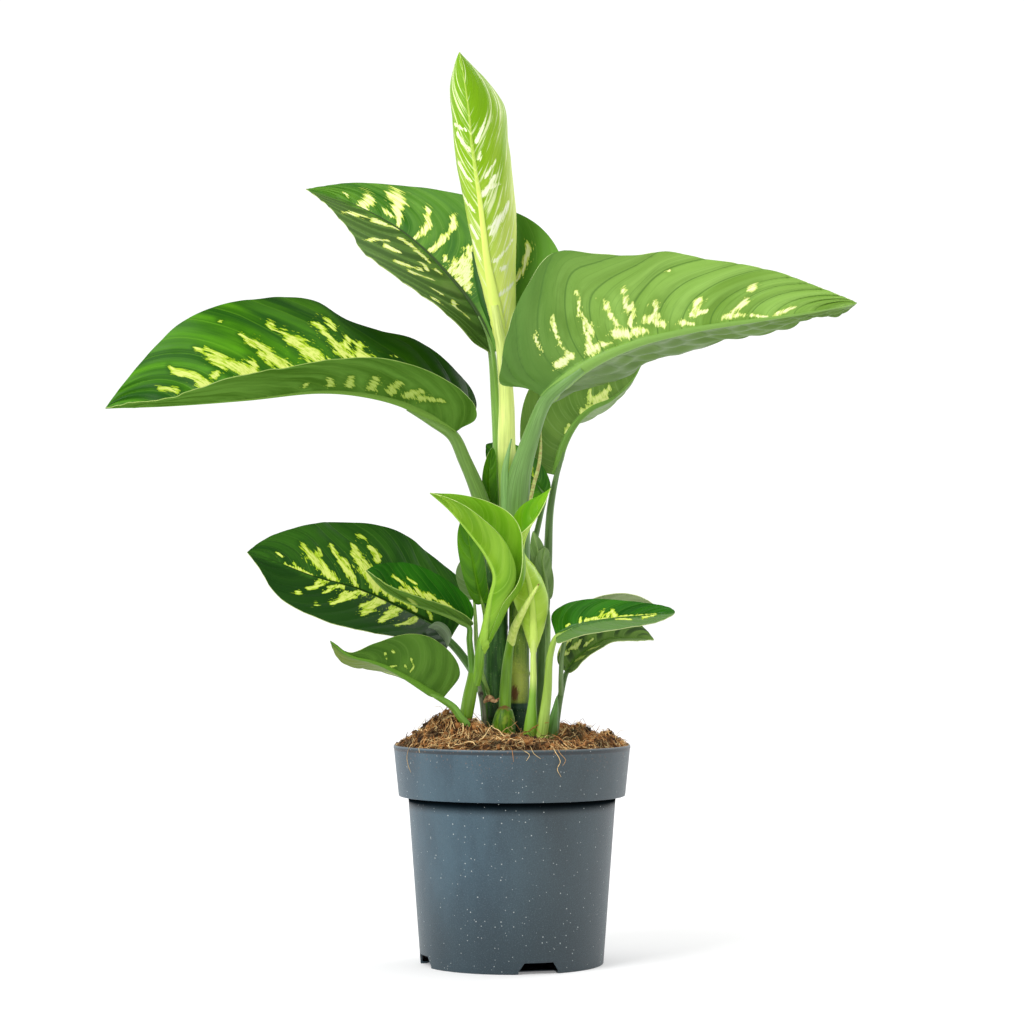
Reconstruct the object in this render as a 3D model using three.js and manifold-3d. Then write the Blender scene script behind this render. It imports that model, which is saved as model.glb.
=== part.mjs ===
// A dieffenbachia in a nursery pot. Millimetres, +Z up, -Y the front,
// and the origin on the pot's axis at the ground.
import * as THREE from "three";
import { mergeVertices } from "three/addons/utils/BufferGeometryUtils.js";
import Module from "manifold-3d";

const wasm = await Module();
wasm.setup();

// Driving dimensions of the pot
const rimDiameter = 170;
const potHeight = 156;
const bandHeight = 36.5;
const bandFootDiameter = 162.5;
const bodyTopDiameter = 149;
const bodyFootDiameter = 131;
const wall = 1.3;
const potSides = 48;

// Drain notches: holes in the corner between wall and floor, a quarter turn apart
const notchCount = 4;
const notchTurn = 16.7;
const notchWidth = 29;
const notchTopWidth = 21;
const notchHeight = 8;
const notchReach = 12;

// Growing mix
const soilRim = 158;
const soilRings = 9;
const soilFootHeight = 14;
const soilFootInset = 14;
const soilHeaps = [
  { x: -50, y: -30, height: 19, spread: 17 },
  { x: -26, y: -38, height: 12, spread: 16 },
  { x: 46, y: -30, height: 14, spread: 11 },
  { x: 68, y: -28, height: 8, spread: 9 },
  { x: 0, y: 10, height: 11, spread: 30 },
  { x: 4, y: -58, height: 4, spread: 18 },
  { x: -40, y: 34, height: 9, spread: 20 },
  { x: 40, y: 36, height: 8, spread: 18 },
];

// Shared shape settings
const gap = 0.35;
const bladeThickness = 0.7;
const bladeEnd = 0.012;
const ribReach = 0.92;
const ribShare = 0.12;
const nudge = 0.004;
const rootDepth = 26;

// Colours
const leafGreen = 0x2f6d22;
const undersideGreen = 0x5f8f45;
const youngGreen = 0x8dc63f;
const stemGreen = 0x56824f;
const oliveGreen = 0x6f7f2c;

const degrees = Math.PI / 180;

// Helpers on numbers and vectors

function vector(values) {
  return new THREE.Vector3(...values);
}

function between(values, index) {
  return values[Math.min(Math.max(index, 0), values.length - 1)];
}

// Values at evenly spaced stations, joined by a smooth curve; a single number stays as it is.
function smooth(stations, share) {
  if (typeof stations === "number") return stations;
  const place = Math.min(Math.max(share, 0), 1) * (stations.length - 1);
  const index = Math.min(Math.floor(place), stations.length - 2);
  const w = place - index;
  const [a, b, c, d] = [-1, 0, 1, 2].map((step) => between(stations, index + step));
  return b + 0.5 * w * (c - a + w * (2 * a - 5 * b + 4 * c - d + w * (3 * (b - c) + d - a)));
}

function smoothVector(stations, share) {
  return vector([0, 1, 2].map((axis) => smooth(stations.map((station) => station[axis]), share)));
}

// Helpers on solids

function toSolid(geometry) {
  const bare = geometry.index ? geometry.toNonIndexed() : geometry.clone();
  bare.deleteAttribute("normal");
  bare.deleteAttribute("uv");
  const merged = mergeVertices(bare, 1e-4);
  const mesh = new wasm.Mesh({
    numProp: 3,
    vertProperties: new Float32Array(merged.attributes.position.array),
    triVerts: new Uint32Array(merged.index.array),
  });
  return new wasm.Manifold(mesh);
}

function toGeometry(solid) {
  const mesh = solid.getMesh();
  const geometry = new THREE.BufferGeometry();
  geometry.setAttribute("position", new THREE.BufferAttribute(new Float32Array(mesh.vertProperties), 3));
  geometry.setIndex(new THREE.BufferAttribute(new Uint32Array(mesh.triVerts), 1));
  return geometry;
}

function largestPiece(solid) {
  return solid.decompose().reduce((best, piece) => (piece.volume() > best.volume() ? piece : best));
}

// A closed mesh from its points and faces, turned inside out where its volume comes out negative.
function closedSolid(points, faces) {
  const volume = faces.reduce((sum, [a, b, c]) => {
    const cross = points[b].clone().cross(points[c]);
    return sum + points[a].dot(cross);
  }, 0);
  const outward = volume < 0 ? faces.map(([a, b, c]) => [a, c, b]) : faces;
  const geometry = new THREE.BufferGeometry().setFromPoints(points);
  geometry.setIndex(outward.flat());
  return toSolid(geometry);
}

// Two triangles for each cell between neighbouring rows of a grid.
function gridFaces(rows, columns, start, closed) {
  const faces = [];
  const cells = closed ? columns : columns - 1;
  for (let row = 0; row < rows - 1; row += 1) {
    for (let column = 0; column < cells; column += 1) {
      const next = (column + 1) % columns;
      const a = start + row * columns + column;
      const b = start + row * columns + next;
      const c = start + (row + 1) * columns + next;
      const d = start + (row + 1) * columns + column;
      faces.push([a, b, c], [a, c, d]);
    }
  }
  return faces;
}

// A tapered tube through a list of points, with a radius at each point; grown, it is larger all round.
function taperedTube({ points, radii, sides = 8, steps = 1, grow = 0 }) {
  const curve = new THREE.CatmullRomCurve3(points.map(vector), false, "centripetal");
  const rings = steps * (points.length - 1);
  const places = [];
  for (let ring = 0; ring <= rings; ring += 1) {
    const share = ring / rings;
    const along = curve.getTangent(share);
    const beyond = ring === 0 ? -grow : ring === rings ? grow : 0;
    const centre = curve.getPoint(share).addScaledVector(along, beyond);
    const back = new THREE.Vector3(0, 1, 0).addScaledVector(along, -along.y).normalize();
    const beside = along.clone().cross(back);
    const radius = smooth(radii, share) + grow / Math.cos(Math.PI / sides);
    for (let side = 0; side < sides; side += 1) {
      const turn = (2 * Math.PI * (side + 0.5)) / sides;
      const out = back.clone().multiplyScalar(Math.cos(turn)).addScaledVector(beside, Math.sin(turn));
      places.push(centre.clone().addScaledVector(out, radius));
    }
  }
  const faces = gridFaces(rings + 1, sides, 0, true);
  const last = rings * sides;
  for (let side = 1; side < sides - 1; side += 1) {
    faces.push([0, side + 1, side], [last, last + side, last + side + 1]);
  }
  return closedSolid(places, faces);
}

// Leaves

// The midrib's place, direction, upper side and right hand at a share of its length; it runs on straight.
function ribFrame(leaf, share) {
  const inside = Math.min(Math.max(share, 0), 1);
  const along = leaf.curve.getTangentAt(inside);
  const place = leaf.curve.getPointAt(inside).addScaledVector(along, (share - inside) * leaf.length);
  const up = smoothVector(leaf.face, inside);
  up.addScaledVector(along, -up.dot(along)).normalize();
  return { place, along, up, right: along.clone().cross(up) };
}

// A point of the blade's middle surface: share from base to tip, reach from midrib to margin, side 1 or -1.
function bladePoint(leaf, share, reach, side) {
  const half = side > 0 ? leaf.right : leaf.left;
  const outline = { ...leaf.outline, ...half };
  const { peak = 0.42, round = 0.62, point = 1.05, lobe = 0.05, sweep = 0.16 } = outline;
  const bulge = Math.sin(Math.PI * share ** (Math.log(0.5) / Math.log(peak)));
  const power = round + (point - round) * share * share * (3 - 2 * share);
  const width = Math.max(bulge, 0) ** power * smooth(half.width, share);
  const ahead = sweep * 4 * share * (1 - share) * (0.35 + 0.65 * share);
  const behind = lobe * (share / 0.1) * Math.exp(1 - share / 0.1);
  const place = share + (ahead - behind) * reach ** 1.6;
  const { place: centre, up, right } = ribFrame(leaf, place);
  const lift = smooth(half.lift, place) * degrees;
  const curl = Math.max(smooth(half.curl ?? 0, place), 0.1) * degrees;
  const end = lift + curl * reach;
  const { height = 0, count = 3, phase = 0 } = leaf.wave ?? {};
  const turn = 2 * Math.PI * (count * share + phase) + (side > 0 ? 0 : 1.3);
  const ripple = height * Math.sin(turn) * reach ** 2.5 * Math.min(1, Math.max(bulge, 0) ** power * 1.4);
  const across = (width / curl) * (Math.sin(end) - Math.sin(lift)) - Math.sin(end) * ripple;
  const above = (width / curl) * (Math.cos(lift) - Math.cos(end)) + Math.cos(end) * ripple;
  return centre.addScaledVector(right, side * across).addScaledVector(up, above);
}

// The midrib stands out under the blade and tapers towards the tip.
function ribDepth(leaf, share) {
  const base = leaf.stalk.radii.at(-1);
  return 0.8 * base * Math.max(1 - share / ribReach, 0) ** 1.2;
}

// The blade as one closed body: the same grid a little above and a little below its middle surface.
function bladeSolid(leaf) {
  const { rows, columns } = leaf;
  const wide = 2 * columns + 1;
  const middle = (share, reach) => bladePoint(leaf, share, Math.abs(reach), reach < 0 ? -1 : 1);
  const upper = [];
  const lower = [];
  for (let row = 0; row <= rows; row += 1) {
    const share = bladeEnd + ((1 - 2 * bladeEnd) * row) / rows;
    for (let column = -columns; column <= columns; column += 1) {
      const away = ribShare + ((1 - ribShare) * (Math.abs(column) - 1)) / (columns - 1);
      const reach = column === 0 ? 0 : Math.sign(column) * away;
      const along = middle(share + nudge, reach).sub(middle(share - nudge, reach));
      const right = middle(share, reach + nudge).sub(middle(share, reach - nudge));
      const normal = right.cross(along).normalize();
      const below = column === 0 ? ribDepth(leaf, share) : 0;
      upper.push(middle(share, reach).addScaledVector(normal, bladeThickness / 2));
      lower.push(middle(share, reach).addScaledVector(normal, -bladeThickness / 2 - below));
    }
  }
  const offset = upper.length;
  const faces = gridFaces(rows + 1, wide, 0, false);
  const under = faces.map(([a, b, c]) => [a + offset, c + offset, b + offset]);
  const everyRow = [...Array(rows + 1).keys()];
  const innerColumns = [...Array(wide - 2).keys()].map((column) => column + 1);
  const edge = [
    ...everyRow.map((row) => row * wide),
    ...innerColumns.map((column) => rows * wide + column),
    ...everyRow.map((row) => row * wide + wide - 1).reverse(),
    ...innerColumns.slice().reverse(),
  ];
  const sides = edge.flatMap((a, index) => {
    const b = edge[(index + 1) % edge.length];
    return [[a, b, b + offset], [a, b + offset, a + offset]];
  });
  return closedSolid([...upper, ...lower], [...faces, ...under, ...sides]);
}

// The stalk, which tapers into the midrib under the blade's base.
function stalkShape(leaf) {
  const { points, radii } = leaf.stalk;
  const base = radii.at(-1);
  const ends = [
    { share: 0, drop: 0.3, radius: base },
    { share: 0.07, drop: 0.8, radius: 0.8 * base },
    { share: 0.16, drop: 0.8, radius: 0.45 * base },
  ];
  const under = ends.map(({ share, drop }) => {
    const { place, up } = ribFrame(leaf, share);
    return place.addScaledVector(up, -drop * base).toArray();
  });
  return {
    ...leaf.stalk,
    points: [...points.slice(0, -1), ...under],
    radii: [...radii.slice(0, -1), ...ends.map(({ radius }) => radius)],
  };
}

function readyLeaf(leaf) {
  const curve = new THREE.CatmullRomCurve3(leaf.rib.map(vector), false, "centripetal");
  return { rows: 9, columns: 3, ...leaf, curve, length: curve.getLength() };
}

// Each leaf: its stalk from root to blade, its midrib from base to tip and the ways its upper side faces.
// Its right and left half, as seen from above, have a width, a lift and a curl, listed from base to tip.
const leaves = {
  leaf_spear: {
    colour: youngGreen,
    stalk: {
      points: [[1, 8, 270], [-3, 7, 332], [-4, 4, 375], [-4, 1, 404], [-7, 0, 440]],
      radii: [6, 6.5, 6.5, 6.5, 5.5],
    },
    rib: [
      [-7, 0, 440], [-13, -4, 476], [-18, -6, 505], [-23, -8, 547], [-29, -8, 589], [-31, -6, 611],
      [-34, -3, 633], [-38, 0, 657],
    ],
    face: [[0.1, 1, 0], [0.1, 1, 0]],
    outline: { peak: 0.55, round: 0.35, point: 0.9, lobe: 0, sweep: 0.1 },
    right: { width: [28, 33, 38, 40, 64], lift: 0, curl: [180, 170, 110] },
    left: {
      width: [40, 42, 45, 47, 47, 45, 45, 50, 65, 71, 90],
      lift: [5, 5, 10],
      curl: [100, 100, 80],
      point: 1.3,
    },
    rows: 14,
    columns: 5,
    clears: ["leaf_right", "cane_right", "cane_left"],
  },
  leaf_upper_left: {
    colour: leafGreen,
    stalk: {
      points: [[-9, 8, 270], [-9, 17, 332], [-10, 18, 369], [-12, 18, 405], [-15, 19, 440]],
      radii: [5, 5, 4.5, 4, 3.5],
    },
    rib: [
      [-15, 19, 440], [-21, 28, 460], [-33, 40, 482], [-50, 54, 504], [-65, 65, 521], [-88, 79, 541],
      [-125, 92, 562], [-157, 100, 573],
    ],
    face: [[-0.3, -0.9, 0.3], [-0.3, -0.9, 0.3]],
    outline: { peak: 0.32, point: 1.15 },
    right: { width: [80, 80, 57, 39, 34, 33], lift: 0 },
    left: { width: [40, 60, 62, 52, 40, 34], lift: [74, 62, 54, 46, 38] },
    wave: { height: 0.6, count: 3, phase: 0.2 },
    rows: 15,
    columns: 4,
    clears: ["cane_left", "leaf_spear"],
  },
  leaf_right: {
    colour: undersideGreen,
    stalk: {
      points: [[5, -5, 262], [4, -7, 290], [3, -9, 317], [5, -14, 346], [12, -20, 371], [24, -28, 402]],
      radii: [8.6, 9, 10, 9, 7, 5.4],
    },
    rib: [
      [24, -28, 402], [36, -33, 414], [51, -38, 425], [86, -48, 440], [130, -54, 450], [173, -57, 456],
      [214, -58, 462], [242, -56, 468],
    ],
    face: [[-0.1, 0.85, 0.5], [0, 0.9, 0.4], [0, 0.9, 0.4], [0, 0.75, 0.6]],
    outline: { peak: 0.3, round: 0.5, point: 0.95, lobe: 0.14 },
    right: {
      width: [44, 45, 47, 57, 73, 84, 70, 61, 60, 55, 51, 50, 49, 48, 47, 45, 43, 41, 38, 37, 36],
      lift: [5, 5, 15, 20],
    },
    left: {
      width: [4, 12, 84, 59, 76, 52, 64, 45, 26, 50, 60],
      lift: [50, 55, 60, 56, 40],
      point: 0.6,
    },
    wave: { height: 1, count: 5, phase: 0.1 },
    rows: 20,
    columns: 4,
    clears: ["cane_right", "cane_left"],
  },
  leaf_left: {
    colour: leafGreen,
    stalk: {
      points: [
        [-12, -2, 270], [-13, -3, 290], [-16, -4, 310], [-25, -8, 339], [-34, -11, 360], [-42, -14, 378],
      ],
      radii: [6, 6.3, 6.3, 5.8, 5, 4.5],
    },
    rib: [
      [-42, -14, 378], [-58, -17, 390], [-77, -19, 400], [-105, -21, 407], [-137, -23, 409],
      [-189, -26, 403], [-245, -29, 398], [-289, -30, 396],
    ],
    face: [[0, -0.3, 0.95], [0, -0.3, 0.95]],
    outline: { peak: 0.42, round: 0.5, lobe: 0.09 },
    right: {
      width: [72, 75, 77, 77, 82, 75, 76, 90, 89, 84, 82, 81, 81, 82, 83, 82, 81, 78, 74, 70, 66],
      lift: [30, 28, 34, 50, 52, 50],
    },
    left: {
      width: [52, 53, 54, 59, 66, 68, 70, 70, 70, 70, 70],
      lift: [64, 46, 33, 26, 20, 16],
    },
    wave: { height: 1.5, count: 3, phase: 0.4 },
    rows: 15,
    columns: 4,
    clears: ["cane_left"],
  },
  leaf_back_right: {
    colour: undersideGreen,
    stalk: {
      points: [
        [20, 8, 167 - rootDepth], [21, 9, 167], [22, 18, 231], [26, 24, 289], [28, 27, 326],
        [32, 28, 351],
      ],
      radii: [4.5, 4.5, 4.3, 4, 3.8, 3],
    },
    rib: [
      [32, 28, 351], [37, 30, 372], [47, 33, 390], [59, 38, 401], [73, 44, 408], [89, 54, 423],
      [97, 62, 437],
    ],
    face: [[-0.6, 0.6, 0.5], [-0.6, 0.6, 0.5]],
    outline: { peak: 0.36 },
    right: { width: [30, 44, 44, 42], lift: [50, 50, 40] },
    left: { width: 50, lift: [40, 40, 30] },
    rows: 11,
    columns: 3,
    clears: [],
  },
  leaf_back_dark: {
    colour: leafGreen,
    stalk: {
      points: [
        [6, 18, 167 - rootDepth], [6, 18, 167], [8, 18, 231], [14, 15, 290], [21, 14, 322],
        [24, 15, 336],
      ],
      radii: [3, 3, 3, 2.8, 2.6, 2.4],
      sides: 6,
    },
    rib: [[24, 15, 336], [13, 18, 350], [-2, 24, 362], [-19, 31, 374]],
    face: [[0, -1, 0], [0, -1, 0]],
    right: { width: 13, lift: 0 },
    left: { width: 18, lift: 0 },
    rows: 6,
    columns: 2,
    clears: ["leaf_back_right", "leaf_upper_left", "leaf_spear"],
  },
  leaf_bud_left: {
    colour: youngGreen,
    stalk: { points: [[-14, 6, 290], [-14, 6, 306], [-14, 6, 317]], radii: [1.6, 1.5, 1.4], sides: 6 },
    rib: [[-14, 6, 317], [-16, 7, 331], [-17, 7, 350], [-14, 8, 370]],
    face: [[0, -1, 0], [0, -1, 0]],
    outline: { round: 0.5, point: 0.6, lobe: 0, sweep: 0.1 },
    right: { width: 6, lift: 0 },
    left: { width: 5, lift: 20 },
    rows: 6,
    columns: 2,
    clears: ["cane_left", "leaf_left", "leaf_spear", "leaf_upper_left"],
  },
  leaf_low_left: {
    colour: leafGreen,
    stalk: {
      points: [
        [-18, -13, 167 - rootDepth], [-19, -13, 167], [-21, -13, 190], [-25, -12, 203], [-33, -10, 216],
        [-39, -11, 224], [-45, -13, 231],
      ],
      radii: [2.4, 2.4, 2.6, 2.8, 3, 3, 3],
    },
    rib: [
      [-45, -13, 231], [-58, -18, 243], [-81, -26, 255], [-108, -34, 267], [-143, -42, 277],
      [-170, -47, 288], [-186, -50, 293],
    ],
    face: [[0.1, -0.8, 0.6], [0.1, -0.8, 0.6]],
    outline: { peak: 0.42, round: 0.55 },
    right: { width: [70, 66, 56, 53, 50], lift: 0 },
    left: { width: [40, 44, 44, 38, 26], lift: [30, 20, 10, 0] },
    wave: { height: 1, count: 3, phase: 0.3 },
    rows: 12,
    columns: 3,
    clears: ["cane_left"],
  },
  leaf_low_left_small: {
    colour: leafGreen,
    stalk: {
      points: [[-27, -34, 196], [-28, -34, 210], [-29, -36, 221], [-30, -40, 231], [-30, -44, 241]],
      radii: [3, 3, 2.6, 2.3, 2.1],
      sides: 6,
    },
    rib: [
      [-30, -44, 241], [-40, -49, 247], [-53, -54, 252], [-66, -58, 256], [-79, -62, 261],
      [-89, -65, 267], [-96, -68, 274], [-101, -70, 280],
    ],
    face: [[0.1, -0.6, 0.8], [0.1, -0.6, 0.8]],
    outline: { round: 0.5, point: 0.75 },
    right: { width: [23, 28, 31, 34], lift: [35, 30, 15] },
    left: { width: [14, 14, 13, 8], lift: 58 },
    clears: ["stalk_left", "leaf_young_left"],
  },
  leaf_low_turned: {
    colour: undersideGreen,
    stalk: {
      points: [
        [-27, -40, 170 - rootDepth], [-31, -41, 170], [-36, -43, 177], [-41, -45, 184], [-49, -48, 190],
      ],
      radii: [3, 3, 3, 2.8, 2.6],
      sides: 6,
    },
    rib: [
      [-49, -48, 190], [-63, -54, 199], [-74, -58, 206], [-87, -62, 213], [-98, -65, 217],
      [-113, -68, 221], [-126, -70, 231],
    ],
    face: [[0, 0.9, 0.4], [0, 0.9, 0.4]],
    outline: { peak: 0.3, round: 0.45, point: 1 },
    right: { width: 24, lift: [70, 60, 45, 30] },
    left: { width: [29, 34, 33, 17, 3, 5], lift: 0, sweep: 0.1 },
    rows: 12,
    columns: 3,
    clears: ["stalk_left"],
  },
  leaf_young_left: {
    colour: youngGreen,
    stalk: { points: [[-26, -34, 200], [-24, -37, 209], [-22, -42, 219]], radii: [3.6, 3.6, 3.6] },
    rib: [
      [-22, -42, 219], [-18, -50, 238], [-14, -56, 259], [-11, -58, 276], [-17, -59, 290],
      [-29, -61, 306], [-43, -64, 322], [-57, -66, 334],
    ],
    face: [[1, 0.1, -0.1], [1, 0.1, 0], [0.7, 0.1, 0.6], [0.7, 0.1, 0.7]],
    outline: { peak: 0.52, round: 0.9, point: 1, lobe: 0, sweep: 0.05 },
    right: { width: [38, 38, 40, 33, 24], lift: [0, 0, 60, 80], curl: [270, 260, 100, 30] },
    left: { width: [15, 16, 20, 22, 22], lift: [0, 0, 25, 40], curl: [150, 130, 30, 0] },
    rows: 14,
    columns: 4,
    clears: ["stalk_left"],
  },
  leaf_young_right: {
    colour: youngGreen,
    stalk: {
      points: [[12, -31, 162 - rootDepth], [13, -32, 162], [14, -34, 182], [15, -36, 200], [15, -39, 220]],
      radii: [5, 5, 4, 2.6, 2.4],
    },
    rib: [
      [15, -39, 220], [15, -43, 242], [13, -43, 266], [7, -41, 291], [9, -43, 304], [18, -46, 321],
      [27, -50, 338],
    ],
    face: [[0, 1, 0], [0, 1, 0], [-0.3, 0.9, 0], [-0.7, -0.5, 0.5], [-0.7, -0.6, 0.4]],
    outline: { peak: 0.45, round: 0.9, point: 1, lobe: 0, sweep: 0.05 },
    right: { width: [22, 24, 24, 14, 14, 14, 14], lift: [0, 0, 10, 10], curl: [110, 110, 60, 0] },
    left: { width: [22, 24, 26, 22, 18, 26, 20], lift: [0, 0, 20, 20], curl: [110, 110, 60, 0] },
    rows: 14,
    columns: 4,
    clears: ["leaf_young_left"],
  },
  leaf_low_right: {
    colour: leafGreen,
    stalk: {
      points: [[20, -37, 162 - rootDepth], [21, -38, 162], [25, -40, 196], [27, -42, 221], [31, -44, 234]],
      radii: [3.3, 3.3, 3.1, 2.8, 2.5],
    },
    rib: [[31, -44, 234], [38, -46, 238], [48, -48, 242], [69, -51, 246], [98, -54, 249], [114, -56, 251]],
    face: [[0, -0.6, 0.8], [0, -0.6, 0.8]],
    outline: { peak: 0.3, round: 0.5, point: 0.6 },
    right: { width: [16, 18, 20], lift: 10 },
    left: { width: [28, 23, 17, 15, 13], lift: 10 },
    clears: ["leaf_young_right"],
  },
  leaf_low_right_back: {
    colour: undersideGreen,
    stalk: {
      points: [[29, -9, 166 - rootDepth], [31, -8, 167], [35, -6, 192], [39, -4, 208]],
      radii: [3, 3, 2.6, 2.3],
      sides: 6,
    },
    rib: [[39, -4, 208], [46, -2, 217], [55, 0, 224], [68, 4, 231], [85, 10, 232], [103, 16, 231]],
    face: [[0, -0.5, 0.85], [0, -0.5, 0.85]],
    right: { width: [14, 12, 9, 8], lift: [20, 20, 10] },
    left: { width: 20, lift: [50, 50, 40] },
    clears: [],
  },
  leaf_low_right_far: {
    colour: undersideGreen,
    stalk: {
      points: [[35, -6, 190], [35, -11, 205], [36, -13, 222], [40, -11, 237], [46, -9, 245]],
      radii: [1.8, 1.8, 1.7, 1.6, 1.5],
      sides: 6,
    },
    rib: [[46, -9, 245], [57, -7, 254], [77, -3, 258], [104, 2, 255]],
    face: [[0, 0.5, 0.85], [0, 0.5, 0.85]],
    right: { width: 10, lift: 10 },
    left: { width: 12, lift: 10 },
    rows: 6,
    columns: 2,
    clears: ["leaf_low_right_back"],
  },
  leaf_small_left: {
    colour: youngGreen,
    stalk: { points: [[-14, -4, 230], [-18, -16, 243], [-21, -26, 257]], radii: [1.8, 1.7, 1.5], sides: 6 },
    rib: [[-21, -26, 257], [-25, -31, 272], [-28, -34, 288], [-31, -35, 305], [-32, -35, 322]],
    face: [[-0.2, -1, 0], [-0.2, -1, 0]],
    outline: { round: 0.5, point: 0.8 },
    right: { width: 9, lift: 10 },
    left: { width: 9, lift: 10 },
    rows: 7,
    columns: 2,
    clears: ["cane_left"],
  },
  leaf_small_left_grey: {
    colour: undersideGreen,
    stalk: {
      points: [[-14, -3, 185], [-21, -13, 205], [-25, -17, 224], [-26, -20, 245], [-27, -21, 260]],
      radii: [1.8, 1.8, 1.8, 1.7, 1.5],
      sides: 6,
    },
    rib: [[-27, -21, 260], [-29, -22, 271], [-31, -23, 281], [-33, -24, 291]],
    face: [[0.3, 1, 0], [0.3, 1, 0]],
    right: { width: 11, lift: 10 },
    left: { width: 6, lift: 10 },
    rows: 6,
    columns: 2,
    clears: ["cane_left", "leaf_low_left", "leaf_small_left"],
  },
  leaf_small_right: {
    colour: undersideGreen,
    stalk: {
      points: [[23, -8, 166 - rootDepth], [24, -8, 167], [25, -10, 210], [25, -12, 245]],
      radii: [1.9, 1.9, 1.8, 1.6],
      sides: 6,
    },
    rib: [[25, -12, 245], [24, -13, 258], [22, -15, 276], [19, -18, 292], [15, -20, 309]],
    face: [[0, 1, 0], [0, 1, 0]],
    right: { width: [3, 5, 7, 8], lift: 10 },
    left: { width: [3, 5, 7, 8], lift: 10 },
    rows: 7,
    columns: 2,
    clears: [],
  },
  leaf_small_right_front: {
    colour: undersideGreen,
    stalk: {
      points: [[25, -10, 215], [26, -14, 232], [26, -16, 248], [25, -17, 260]],
      radii: [1.7, 1.6, 1.5, 1.4],
      sides: 6,
    },
    rib: [[25, -17, 260], [24, -18, 274], [22, -19, 287], [24, -20, 297]],
    face: [[0, 1, 0], [0, 1, 0]],
    outline: { round: 0.5, point: 0.6 },
    right: { width: 6, lift: 0 },
    left: { width: 6, lift: 0 },
    rows: 6,
    columns: 2,
    clears: ["leaf_small_right"],
  },
};

// Canes and shoots, each a list of tapered tubes that have grown together
const stems = {
  cane_left: {
    colour: stemGreen,
    tubes: [
      {
        points: [
          [-11, 2, 163 - rootDepth], [-12, 1, 163], [-12, 0, 188], [-12, 0, 231], [-12, 0, 267],
          [-12, 1, 302],
        ],
        radii: [9.4, 9.3, 9, 9, 9, 8.4],
        sides: 12,
      },
    ],
  },
  cane_right: {
    colour: oliveGreen,
    tubes: [
      {
        points: [
          [5, -6, 163 - rootDepth], [5, -6, 163], [5, -6, 188], [5, -6, 224], [5, -5, 260], [4, -5, 284],
        ],
        radii: [7.2, 7.2, 7.5, 7.4, 7.2, 7],
        sides: 12,
      },
    ],
  },
  stalk_left: {
    colour: youngGreen,
    tubes: [
      {
        points: [
          [-36, -29, 168 - rootDepth], [-34, -30, 168], [-31, -32, 186], [-28, -34, 202], [-27, -34, 208],
        ],
        radii: [4.4, 4.4, 4.7, 4.8, 4],
      },
    ],
  },
  shoot_front: {
    colour: youngGreen,
    tubes: [
      {
        points: [
          [-5, -20, 164 - rootDepth], [-5, -20, 164], [-5, -20, 189], [-3, -23, 217], [-1, -32, 231],
        ],
        radii: [4.4, 4.4, 4.4, 3.8, 2.8],
      },
      {
        points: [
          [-5, -24, 165 - rootDepth], [-5, -24, 158], [-6, -24, 170], [-7, -23, 180], [-7, -22, 185],
        ],
        radii: [6, 7, 8.4, 6, 2],
      },
      {
        points: [[-1, -30, 229], [2, -40, 240], [10, -54, 256], [19, -62, 271]],
        radii: [3.2, 3, 2, 0.9],
        sides: 8,
      },
    ],
  },
  sheath_right: {
    colour: stemGreen,
    tubes: [
      {
        points: [
          [26, -29, 160 - rootDepth], [27, -29, 157], [29, -28, 172], [31, -26, 184], [32, -25, 192],
        ],
        radii: [3.4, 3.8, 4.2, 3, 0.8],
        sides: 8,
      },
    ],
  },
};

// Pot

function latheSolid(profile, sides) {
  const geometry = new THREE.LatheGeometry(profile.map(([r, z]) => new THREE.Vector2(r, z)), sides);
  geometry.rotateX(Math.PI / 2);
  return toSolid(geometry);
}

// The pot's outer line from the floor up, and its inner line, one wall further in.
const outerLine = [
  [bodyFootDiameter / 2, 0],
  [bodyTopDiameter / 2, potHeight - bandHeight],
  [bandFootDiameter / 2, potHeight - bandHeight],
  [rimDiameter / 2, potHeight],
];
const innerLine = [
  [bodyFootDiameter / 2 - wall, wall],
  [bodyTopDiameter / 2 - wall, potHeight - bandHeight + wall],
  [bandFootDiameter / 2 - wall, potHeight - bandHeight + wall],
  [rimDiameter / 2 - wall, potHeight],
];

function notchCutter(turn) {
  const shape = new THREE.Shape();
  shape.moveTo(-notchWidth / 2, -1);
  shape.lineTo(notchWidth / 2, -1);
  shape.lineTo(notchWidth / 2, 2);
  shape.lineTo(notchTopWidth / 2, notchHeight);
  shape.lineTo(-notchTopWidth / 2, notchHeight);
  shape.lineTo(-notchWidth / 2, 2);
  const outer = bodyFootDiameter / 2 + notchReach;
  const geometry = new THREE.ExtrudeGeometry(shape, { depth: 2 * notchReach, bevelEnabled: false });
  geometry.rotateX(Math.PI / 2);
  geometry.translate(0, 2 * notchReach - outer, 0);
  geometry.rotateZ(turn * degrees);
  return toSolid(geometry);
}

function potSolid() {
  const profile = [[0, 0], ...outerLine, ...innerLine.slice().reverse(), [0, wall]];
  let pot = latheSolid(profile, potSides);
  for (let index = 0; index < notchCount; index += 1) {
    pot = pot.subtract(notchCutter(notchTurn + (index * 360) / notchCount));
  }
  return pot;
}

// Growing mix: fills the pot, heaped round the stems

function soilHeight(x, y) {
  const heaps = soilHeaps.reduce((sum, heap) => {
    const away = ((x - heap.x) ** 2 + (y - heap.y) ** 2) / heap.spread ** 2;
    return sum + heap.height * Math.exp(-away);
  }, 0);
  const crumbs = 0.9 * Math.sin(x * 0.31 + y * 0.17) * Math.sin(y * 0.37 - x * 0.11);
  return soilRim + heaps + crumbs;
}

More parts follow.
